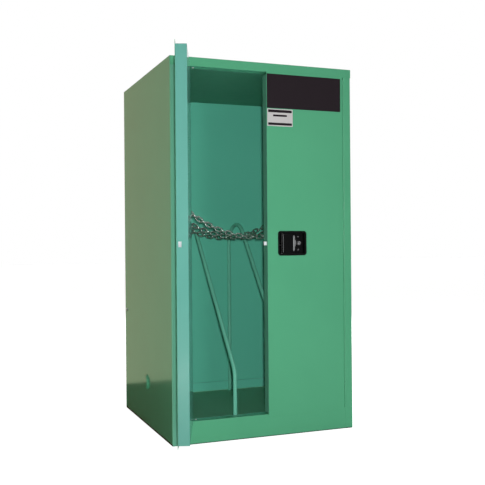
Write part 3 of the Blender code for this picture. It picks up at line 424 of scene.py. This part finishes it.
# A dark line is painted along the foot of the outer walls, the widest on the left
WALL_ENAMEL = baked_enamel("dark_footed_green_enamel")
blended(WALL_ENAMEL, FOOT_LINE, "#2C5340")
LEFT_WALL_ENAMEL = baked_enamel("dark_footed_sheened_green_enamel")
blended(LEFT_WALL_ENAMEL, LEFT_FOOT_LINE, "#101A14")
# The left wall's stile, beside the open door, is painted paler: a painted reflection
blended(LEFT_WALL_ENAMEL, STILE_SHEEN, "#60A185", axis="Y")
# The liners are painted a lighter, bluer green than the outside: painted light, standing for the
# bluish light that falls on the inside walls
LINER_ENAMEL = baked_enamel("baked_blue_green_enamel", "#57AF95", "#5FB99E")
# The divider bars are greyer. The open door's inner pan is painted a greyer, bluer green, a
# painted reflection on its edge, and painted shade darkens it towards its foot
LEFT_PAN_ENAMEL = baked_enamel("baked_grey_green_enamel", "#589588", "#609F91")
blended(LEFT_PAN_ENAMEL, DOOR_FOOT_SHADE, "#488B7B")
# The closed door's inner pan is painted a darker, greyer green, as painted shade on its edge
RIGHT_PAN_ENAMEL = baked_enamel("baked_deep_green_enamel", "#58957B", "#609F84")
BAR_ENAMEL = baked_enamel("dipped_grey_green_enamel", "#5DAA90", "#65B499")
# Overspray leaves the ceiling dull, so that it hardly mirrors the wall; its darker green is
# painted shade
CEILING_ENAMEL = baked_enamel("dull_green_enamel", "#44896A", "#4C9172", 0.46, 0.56)
# Like the liners, the tray is painted a lighter, bluer green as painted light; painted shade
# darkens its floor, whose gloss is also dulled as by dust, and the seam along its rim
TRAY_ENAMEL = baked_enamel("shaded_dusty_blue_green_enamel", "#59B198", "#61BBA1")
blended(TRAY_ENAMEL, TRAY_DUST_AND_SHADE, "#629F7B", DUST_ROUGHNESS)
blended(TRAY_ENAMEL, TRAY_SEAM_SHADE, "#51A28B", DUST_ROUGHNESS)
# The paddle's bright strips and the lock are satin, so they gleam without a sharp mirror; the
# strip along the paddle's knuckle is a painted highlight
SATIN_ZINC = zinc_plate("satin_zinc_plate", "#B4B6B6", "#A4A6A6", 0.42, 0.52)
# Bolt, strike cup and frame screws have a white chromate, which scatters light as well; the strike
# cup's white also stands for a glint in the slot, a painted highlight
WHITE_ZINC = zinc_plate("white_zinc_plate", "#E4E7E8", "#D6D9DA", 0.3, 0.42, metallic=0.4)
# Fingers polish the paddle, so its gloss is tighter than the pan's
WORN_ABS = moulded_abs("polished_black_abs", 0.18, 0.3, 0.3)
SIGN_FILM = printed_vinyl("black_vinyl_film", "#231C20", 0.4)
LABEL_FOIL = printed_vinyl("silver_foil_film", "#D0CCCA", 0.42, 0.25)


def put(name, mesh, body, slot, finish=None, replaced=()):
    """Makes a mesh a piece that rides on a body, with its finish, or else its slot's finish."""
    piece = bpy.data.objects.new(name, mesh)
    bpy.context.scene.collection.objects.link(piece)
    mesh.materials.clear()
    mesh.materials.append(finish or FINISH[slot])
    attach(piece, body)
    if replaced:
        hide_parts(*replaced)
    return piece


def softened(name, fold=FOLD_ROUND, rim=RIM_ROUND, narrow=NARROW_FACE, finish=None, joined=True):
    """A copy of a solid with flat faces joined, its long folds rounded and its other edges eased.

    A fold is a long sharp edge with no face as narrow as the sheet beside it.
    """
    bm = bmesh.new()
    bm.from_mesh(frame["nodes"][name].data)
    bmesh.ops.remove_doubles(bm, verts=bm.verts, dist=WELD)
    if joined:
        bmesh.ops.dissolve_limit(bm, angle_limit=JOINED_TURN, verts=bm.verts, edges=bm.edges)
    weight = bm.edges.layers.float.new("bevel_weight_edge")
    thin = {face: 2 * face.calc_area() / face.calc_perimeter() < narrow for face in bm.faces}
    for edge in bm.edges:
        if len(edge.link_faces) == 2 and edge.calc_face_angle() > SHARP_TURN:
            cut = edge.calc_length() < LONG_FOLD or any(thin[face] for face in edge.link_faces)
            edge[weight] = rim / fold if cut else 1.0
    mesh = bpy.data.meshes.new(name + "_formed")
    bm.to_mesh(mesh)
    bm.free()
    mesh.shade_smooth()
    piece = put(name + "_formed", mesh, BODY[name], SLOT[name], finish, (name,))
    ease = piece.modifiers.new("eased_edges", "BEVEL")
    ease.width = fold
    ease.segments = ROUND_STEPS
    ease.limit_method = "WEIGHT"
    ease.use_clamp_overlap = False
    even = piece.modifiers.new("even_normals", "WEIGHTED_NORMAL")
    even.keep_sharp = True


def patch(grid, wrap_rows=False, wrap_columns=False, caps=False):
    """Points and faces of a grid of points; wrapping joins the last row or column to the first."""
    rows, columns = grid.shape[:2]
    index = np.arange(rows * columns).reshape(rows, columns)
    walk = index
    if wrap_rows:
        walk = np.vstack([walk, walk[:1]])
    if wrap_columns:
        walk = np.hstack([walk, walk[:, :1]])
    quads = np.stack([walk[:-1, :-1], walk[1:, :-1], walk[1:, 1:], walk[:-1, 1:]], axis=-1)
    faces = quads.reshape(-1, 4).tolist()
    if caps:
        faces += [index[0, ::-1].tolist(), index[-1].tolist()]
    return grid.reshape(-1, 3), faces


def built(name, patches, body, slot, finish=None, replaced=(), smooth=SMOOTH_TURN):
    """One piece from several patches, with poles merged and faces turned outwards."""
    points, faces, start = [], [], 0
    for spots, corners in patches:
        points.append(spots)
        faces += [[start + corner for corner in face] for face in corners]
        start += len(spots)
    mesh = bpy.data.meshes.new(name)
    mesh.from_pydata(np.concatenate(points).tolist(), [], faces)
    bm = bmesh.new()
    bm.from_mesh(mesh)
    bmesh.ops.remove_doubles(bm, verts=bm.verts, dist=POLE)
    bmesh.ops.recalc_face_normals(bm, faces=bm.faces)
    bm.to_mesh(mesh)
    bm.free()
    mesh.shade_smooth()
    mesh.set_sharp_from_angle(angle=smooth)
    put(name, mesh, body, slot, finish, replaced)


def remade(name, solid, patches, finish=None):
    """One piece from several patches that stands for a solid, on its body, with its slot's finish
    unless another is given.
    """
    built(name, patches, BODY[solid], SLOT[solid], finish, (solid,))


def eased(points, reach, steps=5, closed=False):
    """A line whose corners are parabolas: start (1-t)^2 + corner 2t(1-t) + end t^2.

    Each parabola starts and ends at the given reach from its corner.
    """
    points = np.asarray(points, float)
    start = np.roll(points, 1, axis=0) - points
    end = np.roll(points, -1, axis=0) - points
    start = points + start / np.linalg.norm(start, axis=1, keepdims=True) * reach
    end = points + end / np.linalg.norm(end, axis=1, keepdims=True) * reach
    t = np.linspace(0, 1, steps)[None, :, None]
    curve = start[:, None] * (1 - t) ** 2 + end[:, None] * t ** 2
    curve += 2 * points[:, None] * t * (1 - t)
    if closed:
        return curve.reshape(-1, points.shape[1])
    inner = curve[1:-1].reshape(-1, points.shape[1])
    return np.concatenate([points[:1], inner, points[-1:]])


def bend(before, corner, after, radius, steps):
    """Points of the circle of one radius that touches both lines of a corner."""
    before, corner, after = (np.asarray(p, float) for p in (before, corner, after))
    into = (before - corner) / np.linalg.norm(before - corner)
    out = (after - corner) / np.linalg.norm(after - corner)
    half = math.acos(np.dot(into, out)) / 2
    bisector = (into + out) / np.linalg.norm(into + out)
    middle = corner + bisector * radius / math.sin(half)
    first = corner + into * radius / math.tan(half) - middle
    last = corner + out * radius / math.tan(half) - middle
    sweep = math.pi - 2 * half
    t = np.linspace(0, 1, steps)[:, None]
    swept = first * np.sin((1 - t) * sweep) + last * np.sin(t * sweep)
    return middle + swept / math.sin(sweep)


def turned(profile, centre, axis, sides=TURNED_SIDES, ripple=None):
    """A profile of (radius, place) turned about an axis: radius times cosine and sine of the turn.

    ripple scales the radius by row and turn.
    """
    profile = np.asarray(profile, float)
    turn = np.linspace(0, 2 * math.pi, sides, endpoint=False)[None, :]
    radius = np.broadcast_to(profile[:, :1], (len(profile), sides))
    if ripple is not None:
        radius = radius * ripple(profile, turn)
    a, b = radius * np.cos(turn), radius * np.sin(turn)
    c = np.broadcast_to(profile[:, 1:], a.shape)
    order = {"X": (c, a, b), "Y": (b, c, a), "Z": (a, b, c)}[axis]
    return np.stack(order, axis=-1) + np.asarray(centre)


def tube(path, radius, side, sides):
    """A circle carried along a path: point + radius (cosine across + sine side)."""
    path = np.asarray(path, float)
    along = np.gradient(path, axis=0)
    along /= np.linalg.norm(along, axis=1, keepdims=True)
    side = np.asarray(side, float)
    across = np.cross(side, along)
    turn = np.linspace(0, 2 * math.pi, sides, endpoint=False)[None, :, None]
    return path[:, None] + radius * (np.cos(turn) * across[:, None] + np.sin(turn) * side)


def slope(value, start, complete):
    """Rises from nought at one value to one at another."""
    return np.clip((value - start) / (complete - start), 0, 1)


def screw_head(centre, axis, out, radius, height):
    """A domed head with a cross recess, as height over a disc.

    Height is height (1 - 0.75 r^2) less a recess where either of two crossed bars runs,
    for r the share of the radius; the rim drops to the seat.
    """
    share = np.concatenate([np.linspace(0, HEAD_LAST, HEAD_ROWS), [1.0, 1.0]])[:, None]
    turn = np.linspace(0, 2 * math.pi, TURNED_SIDES, endpoint=False)[None, :]
    u, v = share * np.cos(turn), share * np.sin(turn)
    inside = slope(np.minimum(np.abs(u), np.abs(v)), *CROSS_BAR) * slope(share, *CROSS_REACH)
    rise = height * (1 - HEAD_FALL * share ** 2) - height * CROSS_DEPTH * inside
    rise[-1] = 0.0
    a, b, c = radius * u, radius * v, out * rise
    order = {"Y": (a, c, b), "Z": (a, b, c)}[axis]
    return patch(np.stack(order, axis=-1) + np.asarray(centre), wrap_columns=True)


def rounded_plate(left, right, low, high, front, thickness):
    """A thin plate across Y with round corners and an eased front edge.

    Its outline is carried forward from the back, and shrunk at the front by the eased share.
    """
    corners = [(left, low), (right, low), (right, high), (left, high)]
    outline = eased(corners, PLATE_CORNER, CORNER_STEPS, closed=True)
    middle = np.array([left + right, low + high]) / 2
    size = np.array([right - left, high - low]) / 2
    ease = thickness * PLATE_EASE
    rings = []
    for inset, y in ((0.0, front + thickness), (0.0, front + ease), (ease, front)):
        ring = middle + (outline - middle) * (1 - inset / size)
        rings.append(np.stack([ring[:, 0], np.full(len(ring), y), ring[:, 1]], axis=-1))
    return patch(np.stack(rings), wrap_columns=True, caps=True)


def weld_bead(centre, axis, out, inner, size):
    """A ring of weld round a bar: a quarter-round fillet from the bar down to the plate."""
    t = np.linspace(0, math.pi / 2, BEAD_STEPS)
    fillet = np.stack([inner + size * (1 - np.sin(t)), out * size * (1 - np.cos(t))], axis=-1)
    profile = np.concatenate([fillet, [(inner, 0.0)]])
    return patch(turned(profile, centre, axis, BEAD_SIDES), wrap_rows=True, wrap_columns=True)


def catenary(span, length):
    """Shape of the curve in which a chain of this length hangs over this span, by halving."""
    low, high = span / 20, span * 20
    for _ in range(HALVINGS):
        middle = (low + high) / 2
        if 2 * middle * math.sinh(span / (2 * middle)) > length:
            low = middle
        else:
            high = middle
    return high


def hanging(joint):
    """Places and directions of the links of a chain that hangs as a catenary between its eyes.

    z = low + shape (cosh(x / shape) - 1), with links at equal steps of arc length.
    """
    eye_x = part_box(joint["child"] + "_eye_right")[0].x + EYE_FLAT
    length = CHAIN_LINKS * LINK_PITCH
    tilt = math.atan(math.sinh(eye_x / catenary(2 * eye_x, length)))
    hook = (EYE_WIRE + LINK_WIRE + EYE_CLEARANCE) / math.cos(tilt) - LINK_WIRE
    outer_x = eye_x + hook * math.cos(tilt)
    shape = catenary(2 * outer_x, length)
    start_z = joint["pos_m"][2] + hook * math.sin(tilt)
    low_z = start_z - shape * (math.cosh(outer_x / shape) - 1)
    run = (np.arange(CHAIN_LINKS) + 0.5) * LINK_PITCH - length / 2
    x = shape * np.arcsinh(run / shape)
    z = low_z + shape * (np.cosh(x / shape) - 1)
    middle = np.stack([x, np.full_like(x, joint["pos_m"][1]), z], axis=-1)
    along = np.stack([np.ones_like(x), np.zeros_like(x), np.sinh(x / shape)], axis=-1)
    return middle, along / np.linalg.norm(along, axis=1, keepdims=True)


def make_chain(joint):
    """Round wire bent into long links, each turned a quarter against the next.

    A link's wire line is two half circles set apart by its straight sides, and its section is
    a circle: (line + wire cosine outward) + wire sine upward.
    """
    turn = ((np.arange(LINK_STEPS) + 0.5) * 2 * math.pi / LINK_STEPS)[:, None]
    section = np.linspace(0, 2 * math.pi, WIRE_STEPS, endpoint=False)[None, :]
    crown = LINK_OUTER / 2 - LINK_WIRE
    straight = LINK_PITCH / 2 + LINK_PLAY + LINK_WIRE - crown
    reach = crown + LINK_WIRE * np.cos(section)
    u = reach * np.cos(turn) + straight * np.sign(np.cos(turn))
    v = reach * np.sin(turn)
    w = np.broadcast_to(LINK_WIRE * np.sin(section), u.shape)
    middle, along = hanging(joint)
    flat = np.broadcast_to([0.0, 1.0, 0.0], along.shape)
    odd = (np.arange(CHAIN_LINKS) % 2 == 1)[:, None]
    across = np.where(odd, np.cross(flat, along), flat)
    axes = np.stack([along, across, np.cross(along, across)], axis=1)
    local = np.stack([u, v, w], axis=-1)
    links = middle[:, None, None] + np.einsum("rcj,kji->krci", local, axes)
    chain = joint["child"]
    remade(chain + "_links", chain,
           [patch(link, wrap_rows=True, wrap_columns=True) for link in links])


def make_eye(name):
    """Bent wire eye welded to a side liner: a circle carried along a line with eased corners."""
    low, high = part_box(name)
    side = 1 if low.x > 0 else -1
    wall, bar = (high.x, low.x + EYE_FLAT) if side > 0 else (low.x, high.x - EYE_FLAT)
    y = (low.y + high.y) / 2
    top, bottom = high.z - EYE_FLAT, low.z + EYE_FLAT
    corners = [(wall, y, bottom), (bar, y, bottom), (bar, y, top), (wall, y, top)]
    wire = tube(eased(corners, EYE_REACH, EYE_STEPS), EYE_WIRE, (0, 1, 0), EYE_SIDES)
    beads = [weld_bead((wall, y, z), "X", -side, EYE_WIRE, EYE_BEAD) for z in (bottom, top)]
    remade(name + "_wire", name, [patch(wire, wrap_columns=True, caps=True), *beads])


def make_divider(name):
    """Round bar bent from a foot at the front up a slope, over an arch and down the back.

    It is a circle carried along straight lines, an arc at the knee and an arc over the top.
    """
    low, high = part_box(name)
    x = (low.x + high.x) / 2
    foot, back = low.y + BAR_FLAT, high.y - BAR_FLAT
    floor, top = low.z, high.z - BAR_FLAT
    middle = np.array([back - BAR_ARCH, top - BAR_ARCH])
    first = math.pi / 2 + BAR_SLOPE
    touch = middle + BAR_ARCH * np.array([math.cos(first), math.sin(first)])
    knee = (foot, touch[1] - (touch[0] - foot) * math.tan(BAR_SLOPE))
    lower = bend((foot, floor), knee, touch, BAR_KNEE, KNEE_STEPS)
    turn = np.linspace(first, 0, ARCH_STEPS)[:, None]
    arch = middle + BAR_ARCH * np.concatenate([np.cos(turn), np.sin(turn)], axis=1)
    route = np.concatenate([[(foot, floor)], lower, arch, [(back, floor)]])
    path = np.column_stack([np.full(len(route), x), route])
    bar = tube(path, BAR_RADIUS, (1, 0, 0), BAR_SIDES)
    beads = [weld_bead((x, y, floor), "Z", 1, BAR_RADIUS, BAR_BEAD) for y in (foot, back)]
    remade(name + "_bar", name, [patch(bar, wrap_columns=True, caps=True), *beads], BAR_ENAMEL)


def make_vent(hand):
    """Vent fittings: a flanged bush, a domed cap with a ribbed grip and a wire screen.

    Each is a profile of (radius, distance from the cabinet's middle) turned about the X axis.
    """
    side = -1 if hand == "left" else 1
    bush, cap, screen = (f"{hand}_vent_{fitting}" for fitting in ("bush", "cap", "screen"))
    low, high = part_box(bush)
    centre = (0.0, (low.y + high.y) / 2, (low.z + high.z) / 2)

    def size(solid):
        """Radius of a fitting, and the distances of its inner and its outer end."""
        low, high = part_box(solid)
        return (high.z - low.z) / 2, *sorted((abs(low.x), abs(high.x)))

    flange, inside, face = size(bush)
    section = [(flange, WALL_X + VENT_GAP), (flange, face), (VENT_BORE, face), (VENT_BORE, inside),
               (VENT_BORE + VENT_TUBE, inside), (VENT_BORE + VENT_TUBE, WALL_X + VENT_GAP)]
    section = eased(section, VENT_ROUND, VENT_STEPS, closed=True) * (1, side)
    ring = turned(section, centre, "X", VENT_SIDES)
    remade(hand + "_vent_flange", bush, [patch(ring, True, True)])

    radius, plug, outer = size(cap)
    line = [(0.0, plug), (VENT_BORE - PLUG_PLAY, plug), (VENT_BORE - PLUG_PLAY, face + VENT_GAP),
            (radius, face + VENT_GAP), (radius, face + CAP_EDGE),
            (radius * CAP_CROWN_SHARE, outer - CAP_CROWN), (0.0, outer)]

    def ripple(profile, turn):
        """Thirty ribs, 0.8 mm deep, near the cap's full radius."""
        rim = slope(profile[:, :1] / radius, *CAP_GRIP)
        return 1 - rim * CAP_RIB_SHARE * (1 + np.cos(CAP_RIBS * turn))

    dome = turned(eased(line, CAP_ROUND) * (1, side), centre, "X", CAP_SIDES, ripple)
    remade(hand + "_vent_dome", cap, [patch(dome, False, True)])

    edge, near, far = size(screen)
    disc = np.array([(0.0, near), (edge, near), (edge, far), (0.0, far)])
    mesh = turned(disc * (1, side), centre, "X")
    remade(hand + "_vent_mesh", screen, [patch(mesh, False, True)])


def make_screws():
    """Earthing screw with its washer, both turned profiles, and the two domed frame screws."""
    low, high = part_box("ground_screw")
    centre = (0.0, (low.y + high.y) / 2, (low.z + high.z) / 2)
    seat, top = high.x, low.x
    under = seat - WASHER_SHEET
    hexagon = (high.y - low.y) / 2
    washer = eased([(0.0, seat), (WASHER_RADIUS, seat), (WASHER_RADIUS, under), (0.0, under)],
                   WASHER_ROUND)
    head = [(0.0, under), (hexagon, under), (hexagon, top + HEX_CHAMFER),
            (hexagon * HEX_TOP_SHARE, top), (0.0, top)]

    def six_sided(profile, turn):
        """A hexagon in place of a circle: cosine of half a side over cosine within the side."""
        half = math.pi / 6
        return math.cos(half) / np.cos((turn % (2 * half)) - half) + 0 * profile[:, :1]

    remade("ground_screw_hex", "ground_screw",
           [patch(turned(washer, centre, "X"), False, True),
            patch(turned(head, centre, "X", ripple=six_sided), False, True)])
    for name, out in (("header_screw", -1), ("sill_screw", 1)):
        low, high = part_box(name)
        seat = high.z if out < 0 else low.z
        centre = ((low.x + high.x) / 2, (low.y + high.y) / 2, seat)
        dome = screw_head(centre, "Z", out, (high.x - low.x) / 2, high.z - low.z)
        remade(name + "_dome", name, [dome], WHITE_ZINC)


def make_lock():
    """Barrel of the key lock: a ring with a rolled lip, turned from its section."""
    low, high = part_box("lock_barrel")
    centre = ((low.x + high.x) / 2, 0.0, (low.z + high.z) / 2)
    radius = (high.z - low.z) / 2
    section = [(radius, low.y), (radius, high.y), (LOCK_BORE, high.y), (LOCK_BORE, low.y)]
    ring = turned(eased(section, LOCK_ROUND, closed=True), centre, "Y")
    remade("lock_barrel_ring", "lock_barrel", [patch(ring, True, True)], SATIN_ZINC)


def make_plates():
    """Bare sign and bare label, stuck on the right door, and the label's plain bands."""
    front = DOOR_Y - PLATE_SHEET
    left, right, low, high = LABEL
    height = high - low
    bands = [rounded_plate(left + inset, right - inset, low + height * foot,
                           low + height * (foot + tall), front - PLATE_SHEET / 2, PLATE_SHEET / 2)
             for foot, tall, inset in BANDS]
    plates = {
        "sign_plate": ([rounded_plate(*SIGN, front, PLATE_SHEET)], "black_plastic", SIGN_FILM),
        "label_plate": ([rounded_plate(*LABEL, front, PLATE_SHEET)], "bright_steel", LABEL_FOIL),
        "label_bands": (bands, "black_plastic", SIGN_FILM),
    }
    for name, (patches, slot, finish) in plates.items():
        built(name, patches, "right_door", slot, finish, smooth=FLAT_TURN)


def make_strip(name, middle, width, proud, half, bulge=0.0):
    """Bright strip up the paddle's face; the one along the knuckle is a painted highlight.

    Its section is half an ellipse, which shrinks towards both ends by the root of 1 - s^8 for
    s the share of the half length.  A bulge 1 - (z / 16 mm)^2 widens it to the right.
    """
    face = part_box("paddle")[0].y
    share = np.sin(np.linspace(-math.pi / 2, math.pi / 2, STRIP_ROWS))[:, None]
    turn = np.linspace(0, math.pi, STRIP_COLUMNS)[None, :]
    end = np.sqrt(np.clip(1 - np.abs(share) ** 8, 0, 1))
    rise = share * half
    extra = bulge * np.clip(1 - (rise / GRIP_BULGE_HALF) ** 2, 0, 1)
    across = middle - width / 2 * end + (width + extra) * end * (1 - np.cos(turn)) / 2
    front = face - proud * np.sin(turn) * end
    rows = np.broadcast_to(JOINT["paddle_pull"]["pos_m"][2] + rise, across.shape)
    grid = np.stack([across, front, rows], axis=-1)
    built(name, [patch(grid, wrap_columns=True)], "paddle", "bright_steel", SATIN_ZINC)


def make_strike_cup():
    """Bright cup behind the strike's slot, which takes the bolt; its white is a painted highlight
    that stands for a glint in the slot.

    The slot's outline, grown by a share of its half size, is carried up the cup's inner wall and
    back down its outer one.  Places along the door and through it turn about the hinge.
    """
    hinge = JOINT["left_door_hinge"]
    opening = math.radians(-hinge["range_deg"][0])
    cosine, sine = math.cos(opening), math.sin(opening)
    turn = np.array([[cosine, sine], [-sine, cosine]])
    plate = frame["nodes"]["strike_plate"].data
    spots = np.empty(3 * len(plate.vertices))
    plate.vertices.foreach_get("co", spots)
    spots = spots.reshape(-1, 3)
    door = (spots[:, :2] - hinge["pos_m"][:2]) @ turn
    front = door[:, 0].min() - CUP_BEHIND
    near, far = np.unique(door[:, 1].round(5))[1:3]
    low, high = np.unique(spots[:, 2].round(5))[1:3]
    corners = [(near, low), (far, low), (far, high), (near, high)]
    outline = eased(corners, CUP_CORNER, CORNER_STEPS, closed=True)
    middle = np.array([near + far, low + high]) / 2
    size = np.array([far - near, high - low]) / 2
    rings = []
    for grow, along in ((CUP_SLACK, front - CUP_DEPTH + CUP_WALL), (CUP_SLACK, front),
                        (CUP_SLACK + CUP_WALL, front), (CUP_SLACK + CUP_WALL, front - CUP_DEPTH)):
        ring = middle + (outline - middle) * (1 + grow / size)
        flat = np.stack([np.full(len(ring), along), ring[:, 0]], axis=-1) @ turn.T
        rings.append(np.column_stack([flat + hinge["pos_m"][:2], ring[:, 1]]))
    built("strike_cup", [patch(np.stack(rings), wrap_columns=True, caps=True)], "left_door",
          "bright_steel", WHITE_ZINC)


def make_pan_screws():
    """Screws of the handle pan, above and below the lock."""
    low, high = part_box("handle_pan")
    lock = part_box("lock_barrel")
    x = (lock[0].x + lock[1].x) / 2 + PAN_SCREW_ASIDE
    z = (low.z + high.z) / 2
    heads = [screw_head((x, high.y - PAN_FLOOR, z + rise), "Y", -1, PAN_SCREW_RADIUS,
                        PAN_SCREW_HEIGHT) for rise in (-PAN_SCREW_RISE, PAN_SCREW_RISE)]
    built("handle_screws", heads, "right_door", "bright_steel")


def make_cabinet():
    """Shell, doors and latch from the solids, then the pieces with surfaces of their own."""
    softened("left_side_panel", finish=LEFT_WALL_ENAMEL)
    for sheet in ("right_side_panel", "rear_panel", "sill"):
        softened(sheet, finish=WALL_ENAMEL)
    for sheet in ("roof_cap", "header", "base_pan", "left_door_skin", "right_door_skin"):
        softened(sheet)
    for sheet in ("left_liner", "right_liner", "rear_liner"):
        softened(sheet, finish=LINER_ENAMEL)
    softened("ceiling_liner", finish=CEILING_ENAMEL)
    softened("sump_floor", PLATE_ROUND, finish=TRAY_ENAMEL)
    softened("left_door_pan", finish=LEFT_PAN_ENAMEL)
    softened("right_door_pan", finish=RIGHT_PAN_ENAMEL)
    for hand in ("left", "right"):
        softened(hand + "_hinge_frame_leaf", LEAF_ROUND)
        softened(hand + "_hinge_door_leaf", LEAF_ROUND)
    softened("handle_pan", PAN_ROUND, MOULD_RIM, joined=False)
    softened("paddle", PADDLE_ROUND, MOULD_RIM, PADDLE_NARROW, WORN_ABS)
    # The strike is painted with its door
    softened("strike_plate", PLATE_ROUND, finish=LEFT_PAN_ENAMEL)
    softened("latch_bolt", PLATE_ROUND, finish=WHITE_ZINC)
    make_strike_cup()
    for plate in ("latch_cam", "upper_latch_rod", "lower_latch_rod", "cam_pivot", "lock_plug"):
        softened(plate, PLATE_ROUND)
    for row in ("front", "middle", "rear"):
        make_chain(JOINT[row + "_chain_swing"])
        make_eye(row + "_chain_eye_left")
        make_eye(row + "_chain_eye_right")
    for hand in ("left", "right"):
        make_divider(hand + "_divider")
    for hand in ("left", "right"):
        make_vent(hand)
    make_screws()
    make_lock()
    make_plates()
    grip_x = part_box("paddle")[1].x - GRIP_WIDTH / 2
    make_strip("paddle_grip", grip_x, GRIP_WIDTH, GRIP_PROUD, GRIP_HALF, GRIP_BULGE)
    # The bright strip along the paddle's knuckle is a painted highlight
    glint_x = JOINT["paddle_pull"]["pos_m"][0] + GLINT_FROM_PIN
    make_strip("paddle_knuckle_glint", glint_x, GLINT_WIDTH, GLINT_PROUD, GLINT_HALF)
    make_pan_screws()
    for name, node in frame["nodes"].items():
        node.data.materials.clear()
        node.data.materials.append(FINISH[SLOT[name]])


def seen_directly(tree):
    """One for rays from the camera, a mirror or a clear body, and nought for the rest."""
    path = add_node(tree, "ShaderNodeLightPath")
    seen = path.outputs["Is Camera Ray"]
    for way in ("Is Glossy Ray", "Is Transmission Ray"):
        seen = add_node(tree, "ShaderNodeMath", {"operation": "MAXIMUM"},
                        links={0: seen, 1: path.outputs[way]}).outputs[0]
    return seen


def level(left, right, near, far, height):
    """Corners of a level sheet."""
    return [(left, near, height), (right, near, height), (right, far, height), (left, far, height)]


def upright(left, right, place, top):
    """Corners of a sheet that stands on the floor and faces the front."""
    return [(left, place, 0), (right, place, 0), (right, place, top), (left, place, top)]


def stage_sheet(name, corners, finish):
    """A flat sheet of the stage."""
    mesh = bpy.data.meshes.new(name)
    mesh.from_pydata(corners, [], [(0, 1, 2, 3)])
    mesh.materials.append(finish)
    sheet = bpy.data.objects.new(name, mesh)
    bpy.context.scene.collection.objects.link(sheet)
    return sheet


def make_floor():
    """Pale floor, which shines only where it is seen directly."""
    paint, tree, shader = new_finish("pale_floor_paint", "#D8D8D6", 0.9)
    glow = add_node(tree, "ShaderNodeMath", {"operation": "MULTIPLY"}, {1: FLOOR_GLOW},
                    {0: seen_directly(tree)})
    shader.inputs["Emission Color"].default_value = (1, 1, 1, 1)
    tree.links.new(glow.outputs[0], shader.inputs["Emission Strength"])
    corners = level(-FLOOR_REACH, FLOOR_REACH, -FLOOR_REACH, FLOOR_REACH, FLOOR_Z)
    stage_sheet("floor", corners, paint)


def glowing(name, colour):
    """A card that shines by itself, so that gloss shows it."""
    made, _, shader = new_finish(name, "#000000", 1.0)
    shader.inputs["Specular IOR Level"].default_value = 0.0
    shader.inputs["Emission Color"].default_value = linear(colour)
    shader.inputs["Emission Strength"].default_value = 1.0
    return made


def make_cards():
    """Cards that only gloss can see.

    The left side mirrors a pale wall behind it and a dark floor; the front mirrors a dim room.
    """
    dim = glowing("dim_room_card", "#5E5E60")
    cards = (
        stage_sheet("wall_card", upright(CARD_LEFT, CARD_RIGHT, CARD_FAR, CARD_TOP),
                    glowing("pale_wall_card", "#C5CBA2")),
        stage_sheet("dark_card", level(CARD_LEFT, CARD_RIGHT, CARD_NEAR, CARD_FAR, CARD_Z),
                    glowing("dark_floor_card", "#4A3414")),
        stage_sheet("room_floor_card", level(CARD_RIGHT, ROOM_WIDE, ROOM_NEAR, CARD_NEAR, CARD_Z),
                    dim),
        stage_sheet("room_card", upright(-ROOM_WIDE, ROOM_WIDE, ROOM_NEAR, ROOM_TOP), dim),
    )
    for card in cards:
        card.visible_camera = False
        card.visible_diffuse = False
        card.visible_shadow = False
        card.visible_transmission = False


def make_light():
    """White surroundings, which light little, and soft boxes, of which gloss shows only one."""
    scene = bpy.context.scene
    scene.view_settings.view_transform = "Standard"
    world = bpy.data.worlds.new("studio")
    scene.world = world
    world.use_nodes = True
    tree = world.node_tree
    strength = add_node(tree, "ShaderNodeMapRange", values={"To Min": AMBIENT, "To Max": 1.0},
                        links={"Value": seen_directly(tree)})
    back = tree.nodes["Background"]
    back.inputs["Color"].default_value = (1, 1, 1, 1)
    tree.links.new(strength.outputs["Result"], back.inputs["Strength"])
    for name, place, aim, size, power in LAMPS:
        lamp = bpy.data.lights.new(name, "AREA")
        lamp.shape = "RECTANGLE"
        lamp.size, lamp.size_y = size
        lamp.energy = power
        lamp.color = linear(LAMP_COLOUR)[:3]
        light = bpy.data.objects.new(name, lamp)
        scene.collection.objects.link(light)
        light.location = place
        light.visible_glossy = name in MIRRORED_LAMPS
        light.rotation_euler = Vector(np.subtract(aim, place)).to_track_quat("-Z", "Y").to_euler()


def make_camera():
    """Camera where the photograph was taken from, by its yaw, pitch and roll."""
    yaw, pitch, roll = (math.radians(a) for a in (CAMERA_YAW, CAMERA_PITCH, CAMERA_ROLL))
    forward = np.array([math.sin(yaw) * math.cos(pitch), math.cos(yaw) * math.cos(pitch),
                        math.sin(pitch)])
    right = np.cross(forward, (0, 0, 1))
    right /= np.linalg.norm(right)
    up = np.cross(right, forward)
    tilted_right = math.cos(roll) * right + math.sin(roll) * up
    tilted_up = -math.sin(roll) * right + math.cos(roll) * up
    turn = np.column_stack([tilted_right, tilted_up, -forward])
    data = bpy.data.cameras.new("camera")
    data.lens = CAMERA_LENS
    data.sensor_width = CAMERA_SENSOR
    camera = bpy.data.objects.new("camera", data)
    bpy.context.scene.collection.objects.link(camera)
    camera.matrix_world = Matrix.Translation(CAMERA_PLACE) @ Matrix(turn.tolist()).to_4x4()
    bpy.context.scene.camera = camera


make_cabinet()
make_floor()
make_cards()
make_light()
make_camera()
